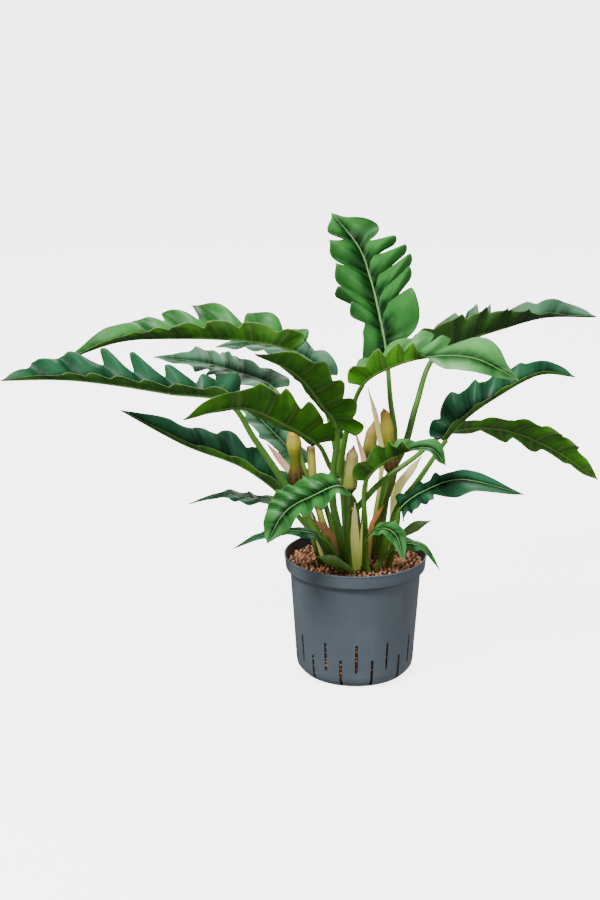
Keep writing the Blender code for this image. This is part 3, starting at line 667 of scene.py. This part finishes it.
def slotted_tree():
    """Cuts a ring of slots with round ends in a wall."""
    tree = ShapeTree("slots", "width radius low high turn depth", count="Int", material="Material")
    want = tree.want
    ring = tree.shape("CurvePrimitiveCircle", Resolution=tree.ask["count"], Radius=want("radius"))
    spots = tree.shape("CurveToPoints", dict(mode="EVALUATED"), Curve=ring)
    body = tree.shape("MeshCylinder", Vertices=16, Radius=1.0, Depth=2.0)
    x, y, z = tree.axes(tree.position())
    half = (want("high") - want("low")) / 2
    straight = (half - want("width") * 0.5) * y.math("ABSOLUTE").math("GREATER_THAN", 0.001)
    long = y * want("width") * 0.5 + y.math("SIGN") * straight
    form = tree.vector(z * want("depth") * 0.5, x * want("width") * 0.5, long + half + want("low"))
    cutter = tree.shape("SetPosition", Geometry=body, Position=form)
    index = Amount(tree, tree.shape("InputIndex"))
    angle = index * (2 * math.pi) / want("count") + want("turn")
    here = tree.vector(angle.math("COSINE") * want("radius"), angle.math("SINE") * want("radius"), 0.0)
    points = tree.shape("SetPosition", Geometry=spots, Position=here)
    cutters = tree.shape("InstanceOnPoints", Points=points, Instance=cutter,
                         Rotation=tree.vector(0.0, 0.0, angle))
    cut = tree.node("GeometryNodeMeshBoolean", dict(operation="DIFFERENCE"))
    tree.put(tree.ask["shape"], cut.inputs[0])
    tree.put(tree.shape("RealizeInstances", Geometry=cutters), cut.inputs[1])
    return tree.end(cut.outputs[0], material=True)


# ---------------------------------------------------------------- finishes


class Paint(Tree):
    """A Principled material whose pattern is built up: each coat goes over what is there already."""

    def __init__(self, name, ground, **sockets):
        self.look = bpy.data.materials.new(name)
        self.look.use_nodes = True
        super().__init__(self.look.node_tree)
        self.shader = self.tree.nodes["Principled BSDF"]
        for socket, value in sockets.items():
            self.shader.inputs[socket.replace("_", " ")].default_value = value
        self.place = self.node("ShaderNodeTexCoord").outputs["Object"]
        self.colour = ground

    def noise(self, scale, detail=3.0, stretch=(1, 1, 1)):
        """A number that wanders about 0.5 over the surface, scale times in a metre."""
        spot = self.node("ShaderNodeMapping", Vector=self.place, Scale=stretch).outputs[0]
        return self.number("ShaderNodeTexNoise", Vector=spot, Scale=scale, Detail=detail, Roughness=0.55)

    def cells(self, scale):
        return self.number("ShaderNodeTexVoronoi", Vector=self.place, Scale=scale)

    def attribute(self, name):
        return Amount(self, self.node("ShaderNodeAttribute", dict(attribute_name=name)).outputs["Fac"])

    def coat(self, share, colour):
        """Puts the colour over what is there: none of it where the share is 0, all of it where it is 1."""
        node = self.node("ShaderNodeMix", dict(data_type="RGBA", clamp_factor=True))
        self.put(share, node.inputs[0])
        for slot, value in ((6, self.colour), (7, colour)):
            self.put((*value, 1.0) if isinstance(value, tuple) else value, node.inputs[slot])
        self.colour = node.outputs[2]

    def finish(self, roughness, height, depth, strength):
        self.put(self.colour, self.shader.inputs["Base Color"])
        self.put(roughness, self.shader.inputs["Roughness"])
        bump = self.node("ShaderNodeBump", Height=height, Strength=strength, Distance=depth)
        self.put(bump.outputs[0], self.shader.inputs["Normal"])
        return self.look


def shaded(colour, share, lift=0.0):
    return tuple(share * c + lift for c in colour)


def veined(paint, colours, strengths):
    """The fine lines between the side veins, the veins, the margin and the midrib, each in its colour."""
    lines = (paint.attribute("lobe") * (2 * math.pi * 5) + paint.noise(60) * 4).math("SINE") * 0.5 + 0.5
    shares = (lines.step(strengths[0], 1.0) * strengths[1], paint.attribute("vein") * strengths[2],
              paint.attribute("margin") * strengths[3], paint.attribute("midrib").step(0.15, 0.8))
    for share, colour in zip(shares, colours):
        paint.coat(share, colour)


# Upper-side greens, dark and pale. The grey tone is a greyer green: partly the leaf's own blue-green, partly
# a painted sheen.
LEAF_TONES = {
    "deep": ((0.001, 0.022, 0.007), (0.013, 0.105, 0.040)),
    "fresh": ((0.002, 0.042, 0.004), (0.045, 0.225, 0.042)),
    "light": ((0.020, 0.130, 0.020), (0.085, 0.320, 0.075)),
    "grey": ((0.030, 0.110, 0.055), (0.090, 0.230, 0.120)),
}


def leaf_top_finish(tone):
    """The waxy upper side: paler midrib, side veins and margin, painted highlights on the tops of the pillows
    between the side veins, and painted shade in its creases and along the midrib, where it is also less
    glossy.
    """
    dark, pale = LEAF_TONES[tone]
    paint = Paint("leaf_upper_" + tone, dark, Specular_IOR_Level=0.30)
    out, pillow = paint.attribute("out"), paint.attribute("pillow")
    patch = paint.noise(26, 4.0) + (out.step(0.0, 0.6) - 0.5) * 0.35
    paint.coat(patch.step(0.28, 0.78), pale)
    # A lighter copy of the pale green: the painted highlight on the tops of the pillows, and also the colour
    # of the veins.
    highlight_and_vein_green = shaded(pale, 1.7, 0.02)
    paint.coat(pillow.step(0.3, 1.0) * out.step(0.15, 0.7) * 0.35, highlight_and_vein_green)
    # Painted shade: a near-black green in the creases between the pillows and along the midrib.
    crease = (1 - pillow.step(0.0, 0.45)) * (1 - out.step(0.55, 1.0) * 0.5)
    shade = (1 - out.step(0.0, 0.45)) * 0.65 + crease * 0.6
    paint.coat(shade, shaded(dark, 0.15))
    veined(paint, (highlight_and_vein_green, highlight_and_vein_green, (0.14, 0.26, 0.06), (0.20, 0.44, 0.13)), (0.80, 0.06, 0.18, 0.55))
    # Less specular in the painted shade.
    paint.put(0.22 - 0.20 * shade.math("MINIMUM", 1.0), paint.shader.inputs["Specular IOR Level"])
    height = paint.noise(420, 4.0) * 0.35 + paint.cells(700) * 0.25 - paint.attribute("vein") * 0.6
    return paint.finish(paint.noise(90) * 0.20 + 0.30, height, 0.0005, 0.5)


def leaf_under_finish(name, dim):
    """The duller, yellower underside, with raised veins, painted light through the leaf in its greens, and
    painted shade in its creases and near the midrib. dim scales its greens: below 1 it gives a copy with
    painted shade.
    """
    # Its greens are brighter than the leaf's own: painted light that stands for light shining through the
    # leaf.
    paint = Paint("leaf_underside_" + name, (0.022 * dim, 0.130 * dim, 0.002), Specular_IOR_Level=0.3)
    out, pillow = paint.attribute("out"), paint.attribute("pillow")
    patch = paint.noise(22, 4.0) + (out - 0.5) * 0.3
    paint.coat(patch.step(0.25, 0.8), (0.085 * dim, 0.330 * dim, 0.006))
    # Painted shade: a near-black green in the creases between the pillows and near the midrib.
    paint.coat((1 - pillow.step(0.0, 0.5)) * 0.5 + (1 - out.step(0.0, 0.25)) * 0.3, (0.004, 0.030, 0.001))
    veined(paint, ((0.16, 0.28, 0.045), (0.17, 0.29, 0.05), (0.30, 0.42, 0.14), (0.15, 0.25, 0.04)),
           (0.78, 0.22 * dim, 0.5 * dim, 0.7))
    height = paint.noise(420, 4.0) * 0.5 + paint.attribute("vein") * 0.6
    return paint.finish(paint.noise(80) * 0.2 + 0.42, height, 0.0005, 0.5)


def stalk_finish(name="leaf_stalk_skin", dark=(0.040, 0.150, 0.010), pale=(0.130, 0.330, 0.030)):
    """A smooth stalk with small pale speckles, browner near the foot."""
    paint = Paint(name, dark, Coat_Weight=0.15, Coat_Roughness=0.3)
    paint.coat(paint.noise(70, stretch=(1, 1, 0.15)), pale)
    speck = 1 - paint.cells(420).step(0.10, 0.24)
    paint.coat(speck * paint.noise(160).step(0.42, 0.6) * 0.6, (0.26, 0.36, 0.12))
    low = 1 - (paint.axes(paint.place)[2] - POT_HEIGHT).step(-0.02, 0.05)
    paint.coat(low * paint.noise(120).step(0.35, 0.7) * 0.6, (0.13, 0.12, 0.035))
    return paint.finish(paint.noise(200) * 0.2 + 0.32, paint.noise(500, stretch=(1, 1, 0.12)), 0.0004, 0.4)


def plastic_finish():
    """Matt moulded plastic: faint flow clouds, a fine grain, dust, and shade in and under the band."""
    paint = Paint("slate_plastic_finish", (0.098, 0.125, 0.153))
    paint.coat(paint.noise(9, 4.0).step(0.3, 0.7), (0.122, 0.152, 0.182))
    paint.coat(paint.noise(34, 5.0).step(0.5, 0.85) * 0.16, (0.26, 0.28, 0.29))
    speck = (1 - paint.cells(240).step(0.03, 0.09)) * paint.noise(40).step(0.55, 0.75)
    paint.coat(speck * 0.6, (0.30, 0.27, 0.23))
    x, y, z = paint.axes(paint.place)
    depth = POT_HEIGHT - z
    radius = (x ** 2 + y ** 2) ** 0.5
    inside = (radius + depth * BAND_TAPER / BAND_HEIGHT).math("LESS_THAN", RIM_RADIUS - 0.5 * WALL)
    shade = inside * depth.math("GREATER_THAN", 0.0008) * depth.math("LESS_THAN", BAND_HEIGHT - 0.001)
    under_band = (depth - BAND_HEIGHT).bell(0.0006, 0.0016) * 0.75
    paint.coat(shade * 0.8 + under_band, (0.010, 0.012, 0.015))
    height = paint.noise(1900, 2.0) * 0.6 + paint.noise(300, 2.0) * 0.5
    return paint.finish(paint.noise(50) * 0.16 + 0.40, height, 0.0003, 0.35)


def granule_finish():
    """Crushed clay and bark: each granule with its own shade of brown, pitted."""
    paint = Paint("granule_finish", (0.110, 0.034, 0.014))
    tone = paint.attribute("tone")
    paint.coat(tone.step(0.0, 0.7), (0.78, 0.33, 0.16))
    paint.coat(tone.step(0.78, 1.0), (0.80, 0.46, 0.26))
    paint.coat(paint.noise(900).step(0.35, 0.75) * 0.5, (0.035, 0.018, 0.013))
    return paint.finish(paint.noise(300) * 0.2 + 0.72, paint.noise(1500, 4.0), 0.0008, 0.8)


def soil_finish():
    """What shows between the granules: the same mix in shade."""
    paint = Paint("dark_mix", (0.006, 0.004, 0.003))
    paint.coat(paint.cells(260).step(0.1, 0.6), (0.045, 0.020, 0.013))
    return paint.finish(paint.noise(200) * 0.2 + 0.75, paint.cells(260), 0.001, 0.8)


def bract_finish(name, steps, streaks=0.25, gloss=0.42, glow=0.0):
    """A fleshy sheath or spathe: its colours follow its length from foot to tip, in soft streaks. Light
    shines through a thin one, and glow stands for that."""
    paint = Paint(name, steps[0][1], Specular_IOR_Level=0.3, Emission_Strength=glow)
    along = paint.attribute("along") + (paint.noise(60) - 0.5) * 0.10
    for (low, _), (high, shade) in zip(steps, steps[1:]):
        paint.coat(along.step(low, high), shade)
    line = (paint.attribute("round") * (2 * math.pi * 9) + paint.noise(40) * 5).math("SINE") * 0.5 + 0.5
    paint.coat(line * streaks, shaded(steps[-2][1], 0.45))
    paint.coat(paint.attribute("seam") * 0.75, (0.36, 0.045, 0.050))
    paint.put(paint.colour, paint.shader.inputs["Emission Color"])
    return paint.finish(paint.noise(150) * 0.2 + gloss - 0.1, line + paint.noise(300), 0.0003, 0.35)


# The colours of sheaths and spathes, as (how far along, colour).
SHEATH_STEPS = {
    "pink_sheath": [(0, (0.50, 0.45, 0.14)), (0.35, (0.90, 0.62, 0.36)), (0.8, (0.92, 0.52, 0.34)),
                    (1.0, (0.75, 0.24, 0.15))],
    "straw_sheath": [(0, (0.32, 0.46, 0.05)), (0.35, (0.80, 0.84, 0.22)), (0.8, (0.92, 0.76, 0.34)),
                     (1.0, (0.80, 0.48, 0.24))],
    "orange_sheath": [(0, (0.24, 0.15, 0.04)), (0.4, (0.50, 0.20, 0.05)), (0.8, (0.58, 0.22, 0.06)),
                      (1.0, (0.36, 0.10, 0.04))],
    "dried_sheath": [(0, (0.12, 0.07, 0.03)), (0.4, (0.28, 0.15, 0.06)), (0.8, (0.22, 0.10, 0.04)),
                     (1.0, (0.10, 0.045, 0.02))],
}
SPATHE_STEPS = {
    "left": [(0, (0.07, 0.16, 0.02)), (0.34, (0.07, 0.15, 0.02)), (0.44, (0.05, 0.020, 0.012)),
             (0.60, (0.16, 0.19, 0.015)), (0.74, (0.52, 0.48, 0.05)), (0.90, (0.66, 0.40, 0.07)),
             (1.0, (0.48, 0.10, 0.04))],
    "right": [(0, (0.07, 0.16, 0.02)), (0.34, (0.07, 0.14, 0.02)), (0.44, (0.07, 0.030, 0.012)),
              (0.60, (0.18, 0.20, 0.015)), (0.72, (0.50, 0.46, 0.05)), (0.88, (0.62, 0.36, 0.06)),
              (1.0, (0.50, 0.06, 0.06))],
    "middle": [(0, (0.07, 0.16, 0.02)), (0.34, (0.07, 0.14, 0.02)), (0.44, (0.08, 0.06, 0.012)),
               (0.54, (0.32, 0.38, 0.05)), (0.70, (0.66, 0.60, 0.17)), (0.88, (0.80, 0.58, 0.22)),
               (1.0, (0.14, 0.03, 0.02))],
    "back": [(0, (0.07, 0.16, 0.02)), (0.34, (0.07, 0.14, 0.02)), (0.44, (0.08, 0.06, 0.012)),
             (0.54, (0.20, 0.26, 0.03)), (0.70, (0.40, 0.38, 0.07)), (0.88, (0.52, 0.34, 0.10)),
             (1.0, (0.30, 0.06, 0.04))],
}
STUB_STEPS = [(0, (0.09, 0.16, 0.02)), (0.5, (0.34, 0.42, 0.05)), (0.9, (0.62, 0.62, 0.12)),
              (1.0, (0.25, 0.12, 0.04))]


# ---------------------------------------------------------------- pieces


def finish_piece(piece, node):
    """What every new piece needs: the body it rides on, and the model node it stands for."""
    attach(piece, "root")
    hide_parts(node)


def make_leaves():
    blade, stalk = leaf_tree(), stalk_tree()
    skin = stalk_finish()
    # Underside copies: dark and shaded dim the greens as painted shade, for undersides that lie in shadow.
    dims = {"usual": 1.0, "dark": 0.55, "shaded": 0.28}
    unders = {name: leaf_under_finish(name, dim) for name, dim in dims.items()}
    tops = {tone: leaf_top_finish(tone) for tone in LEAF_TONES}
    for name, leaf in LEAVES.items():
        leaf = {**USUAL, **leaf}
        points = [place(p) for p in leaf["stalk"] + leaf["rib"]]
        base = len(leaf["stalk"])
        start, size, fold, lean = leaf["start"], leaf["radius"] / 1000, leaf["fold"], leaf["lean"]
        edge = leaf.get("edge", (fold[0] - 25, fold[1] - 25))
        tip = leaf.get("tip_fold", fold)
        left = leaf.get("left") or even_lobes(leaf, leaf["half"][0], start)
        right = leaf.get("right") or even_lobes(leaf, leaf["half"][1], start + 1)
        left_half, left_lobe = lobed_side(left, start)
        right_half, right_lobe = lobed_side(right, start)
        line = chain("blade_" + name, points, base, len(points) - 1, BLADE_STEPS, left_half=left_half,
                     left_lobe=left_lobe, right_half=right_half, right_lobe=right_lobe)
        sheet = grown(
            line, blade, left_fold=float(fold[0]), left_edge=float(edge[0]), left_tip_fold=float(tip[0]),
            right_fold=float(fold[1]), right_edge=float(edge[1]), right_tip_fold=float(tip[1]),
            left_lean=lean[0], right_lean=lean[1], lean_shift=leaf["lean_shift"], sweep=leaf["sweep"] / 1000,
            refold=leaf["refold"], refold_span=leaf["refold_span"], pleat=leaf["pleat"], wave=leaf["wave"],
            midrib=leaf["rib_size"] * size, thickness=BLADE_THICKNESS, start=start, face=leaf["face"],
            rows=BLADE_ROWS, columns=BLADE_COLUMNS, under=unders[leaf["under"]], upper=tops[leaf["tone"]])
        finish_piece(sheet, "leaf_" + name)
        widths = [1.2 * size, size, 0.74 * size]
        line = chain("petiole_" + name, points, 0, base + 0.02, STALK_STEPS,
                     radius=lambda at: blend(widths, 2 * at))
        petiole = grown(line, stalk, sides=STALK_SIDES, channel=STALK_CHANNEL, material=skin)
        finish_piece(petiole, "stalk_" + name)


def skinned(name, shape, look):
    """The piece that a bmesh shape gives, with its faces outwards."""
    bmesh.ops.recalc_face_normals(shape, faces=shape.faces)
    mesh = bpy.data.meshes.new(name)
    shape.to_mesh(mesh)
    shape.free()
    mesh.materials.append(look)
    return new_piece(name, mesh)


def loft(name, path, half, look, thick=1.0, rows=64, sides=32, seam=0.0, ripple=0.0, hollow=0.0, turns=0.0):
    """A fleshy tube along the path, with an overlapping edge that winds up it and soft ripples."""
    points = [place(p) for p in path]
    last = len(points) - 1
    shape = bmesh.new()
    layers = {key: shape.verts.layers.float.new(key) for key in ("along", "round", "seam")}
    rings = []
    for k in range(rows + 1):
        along = k / rows
        at = last * along
        way = curve_point(points, min(at + 0.02, last)) - curve_point(points, max(at - 0.02, 0))
        way.normalize()
        middle = curve_point(points, at)
        across = way.cross(Vector((0, -1, 0.2))).normalized()
        out = across.cross(way)
        size = blend(half, (len(half) - 1) * along) / 1000
        ring = []
        for n in range(sides):
            turn = 2 * math.pi * n / sides
            past = (n / sides - 0.72 - turns * along) % 1.0
            step = 1 + seam * (past - 0.5) + seam * 0.8 * math.exp(-(past / 0.05) ** 2)
            rough = noise.noise(Vector((3 * math.cos(turn), 3 * math.sin(turn), 9 * along + size * 900)))
            reach = size * step * (1 + ripple * rough)
            spot = middle + across * (reach * math.cos(turn)) + out * (reach * thick * math.sin(turn))
            vert = shape.verts.new(spot)
            vert[layers["along"]] = along
            vert[layers["round"]] = n / sides
            vert[layers["seam"]] = math.exp(-(min(past, 1 - past) / 0.03) ** 2) if seam else 0.0
            ring.append(vert)
        rings.append(ring)
    for low, high in zip(rings, rings[1:]):
        for n in range(sides):
            m = (n + 1) % sides
            shape.faces.new((low[n], low[m], high[m], high[n]))
    for ring, along, dip in ((rings[0], 0, 0), (rings[-1], 1, hollow)):
        pole = shape.verts.new(sum((v.co for v in ring), Vector()) / sides - Vector((0, 0, dip)))
        pole[layers["along"]] = along
        for n in range(sides):
            pair = (ring[n], ring[(n + 1) % sides])
            shape.faces.new((*(pair if along else pair[::-1]), pole))
    piece = skinned(name, shape, look)
    piece.data.shade_smooth()
    return piece


def make_shoots():
    young = stalk_finish("young_leaf_skin", (0.045, 0.150, 0.012), (0.130, 0.320, 0.040))
    for name, leaf in YOUNG.items():
        piece = loft("rolled_leaf_" + name, look=young, ripple=0.10, seam=0.16, **leaf)
        finish_piece(piece, "leaf_young_" + name)
    for name, spathe in SPATHES.items():
        look = bract_finish("spathe_skin_" + name, SPATHE_STEPS[name])
        piece = loft("flower_sheath_" + name, look=look, rows=110, sides=44, seam=0.14, turns=0.18,
                     ripple=0.04, **spathe)
        finish_piece(piece, "spathe_" + name)
    for name, sheath in SHEATHS.items():
        tone = sheath.pop("tone")
        look = bract_finish(f"{tone}_{name}", SHEATH_STEPS[tone], 0.2, 0.5, 0.30)
        dried = name == "dried"
        piece = loft("leaf_sheath_" + name, look=look, seam=0.16, turns=0.1, ripple=0.45 if dried else 0.12,
                     **sheath)
        finish_piece(piece, "sheath_" + name)
    for name, stub in STUBS.items():
        look = bract_finish("cut_stalk_skin_" + name, STUB_STEPS, 0.15)
        piece = loft("cut_stub_" + name, look=look, ripple=0.05, hollow=0.0025, **stub)
        finish_piece(piece, "stub_" + name)


def turned(name, profile, look, sides=192):
    """A shape turned round the Z axis from (radius, height) points, with a pole where the radius is 0."""
    shape = bmesh.new()
    angles = [2 * math.pi * n / sides for n in range(sides)]
    rings = []
    for radius, height in profile:
        spots = [(radius * math.cos(a), radius * math.sin(a), height) for a in (angles if radius else [0])]
        rings.append([shape.verts.new(spot) for spot in spots])
    for low, high in zip(rings, rings[1:]):
        for n in range(max(len(low), len(high))):
            m = (n + 1) % sides
            corners = [low[n % len(low)], low[m % len(low)], high[m % len(high)], high[n % len(high)]]
            shape.faces.new(list(dict.fromkeys(corners)))
    return skinned(name, shape, look)


def rounded(profile, corners, steps=5):
    """The profile with the points whose numbers are given cut back to arcs of that radius."""
    out = []
    for k, point in enumerate(profile):
        if k not in corners:
            out.append(point)
            continue
        here, before, after = (Vector(profile[n]) for n in (k, k - 1, k + 1))
        first = here + (before - here).normalized() * corners[k]
        last = here + (after - here).normalized() * corners[k]
        for s in range(steps + 1):
            t = s / steps
            spot = first * (1 - t) ** 2 + here * (2 * t * (1 - t)) + last * t * t
            out.append((spot.x, spot.y))
    return out


def make_pot():
    look = plastic_finish()
    low, top, band, rim = BODY_LOW_RADIUS, BODY_TOP_RADIUS, BAND_LOW, RIM_RADIUS
    profile = [
        (0, 0.0), (BASE_RADIUS, 0.0), (low, CORNER), (top, band - 0.002), (rim - BAND_TAPER, band),
        (rim - 0.0006, POT_HEIGHT - 0.0022), (rim, POT_HEIGHT - 0.0018), (rim, POT_HEIGHT),
        (rim - WALL - 0.0004, POT_HEIGHT), (rim - BAND_TAPER - WALL, band + 0.002),
        (top - WALL, band - 0.002), (low - THIN_WALL, CORNER), (BASE_RADIUS, FLOOR), (0, FLOOR)]
    corners = {1: 0.003, 2: 0.008, 3: 0.0012, 4: 0.0012, 7: 0.0007, 8: 0.0007, 9: 0.002, 10: 0.002}
    pot = turned("nursery_pot", rounded(profile, corners), look)
    slots = slotted_tree()
    for step, (bottom, height) in enumerate((HIGH_SLOT, LOW_SLOT)):
        turn = -math.pi / 2 + math.pi * step / SLOT_COUNT
        pot = grown(pot, slots, count=SLOT_COUNT, width=SLOT_WIDTH, radius=low - 0.002, low=bottom,
                    high=height, turn=turn, depth=SLOT_DEPTH, material=look)
    pot.data.shade_smooth()
    pot.data.set_sharp_from_angle(angle=math.radians(35))
    finish_piece(pot, "pot")


def make_granules():
    rocks, look = granule_tree(), granule_finish()
    top, rim = FILL_TOP, RIM_RADIUS - BAND_TAPER - WALL
    profile = [(0, top - 0.001), (0.35 * FILL_RADIUS, top + 0.0005), (0.75 * FILL_RADIUS, top),
               (rim - 0.003, top + 0.0005)]
    bed = grown(turned("top_dressing", profile, look, 48), rocks, spacing=0.0060, least_size=0.0025,
                most_size=0.0036, lumps=0.9, seed=11, material=look)
    inner = BODY_LOW_RADIUS - THIN_WALL - 0.0026
    profile = [(inner - 0.0060, 0.009), (inner, 0.017), (inner + 0.0042, 0.078)]
    band = grown(turned("granules_in_slots", profile, look, 96), rocks, spacing=0.0052, least_size=0.0021,
                 most_size=0.0028, lumps=1.3, seed=5, material=look)
    for piece in (bed, band):
        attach(piece, "root")
    # The substrate and the crown below the granules take the near-black mix: painted shade between the
    # granules.
    soil = soil_finish()
    for node in ("substrate", "crown"):
        mesh = frame["nodes"][node].data
        mesh.materials.clear()
        mesh.materials.append(soil)


# ---------------------------------------------------------------- stage


def area_light(name, spot, size, power):
    light = bpy.data.lights.new(name, "AREA")
    light.shape = "DISK"
    light.size = size
    light.energy = power
    obj = new_piece(name, light)
    obj.location = spot
    obj.rotation_euler = (Vector(LIT) - Vector(spot)).to_track_quat("-Z", "Y").to_euler()


def make_stage():
    bend = [(12 + 8 * math.sin(math.radians(a)), 8 - 8 * math.cos(math.radians(a))) for a in range(0, 91, 10)]
    bowl = [(0, 0.0), (3, 0.0), *bend, (18, 16.0), (10, 22.0), (0, 24.0)]
    pale = bpy.data.materials.new("pale_floor")
    pale.use_nodes = True
    shader = pale.node_tree.nodes["Principled BSDF"].inputs
    shader["Base Color"].default_value = (0.93, 0.93, 0.93, 1)
    shader["Roughness"].default_value = 0.9
    shader["Emission Color"].default_value = (1, 1, 1, 1)
    shader["Emission Strength"].default_value = FLOOR_GLOW
    floor = turned("floor", bowl, pale, 96)
    floor.data.flip_normals()
    floor.data.shade_smooth()
    floor.visible_diffuse = floor.visible_glossy = floor.visible_shadow = False
    world = bpy.data.worlds.new("studio")
    bpy.context.scene.world = world
    world.use_nodes = True
    sky = world.node_tree.nodes["Background"].inputs
    sky[0].default_value = (1, 1, 1, 1)
    sky[1].default_value = SKY_POWER
    area_light("key", (-1.2, -1.6, 2.6), 0.9, 115)
    area_light("fill", (2.2, -1.6, 1.8), 1.6, 24)
    area_light("back", (0.4, 2.4, 2.6), 1.6, 60)


def make_camera():
    camera = bpy.data.cameras.new("camera")
    camera.sensor_width = 36
    camera.lens = LENS
    eye = new_piece("camera", camera)
    eye.location = EYE
    eye.rotation_euler = (math.radians(90 - EYE_TILT), 0, 0)
    bpy.context.scene.camera = eye


make_leaves()
make_shoots()
make_pot()
make_granules()
make_stage()
make_camera()
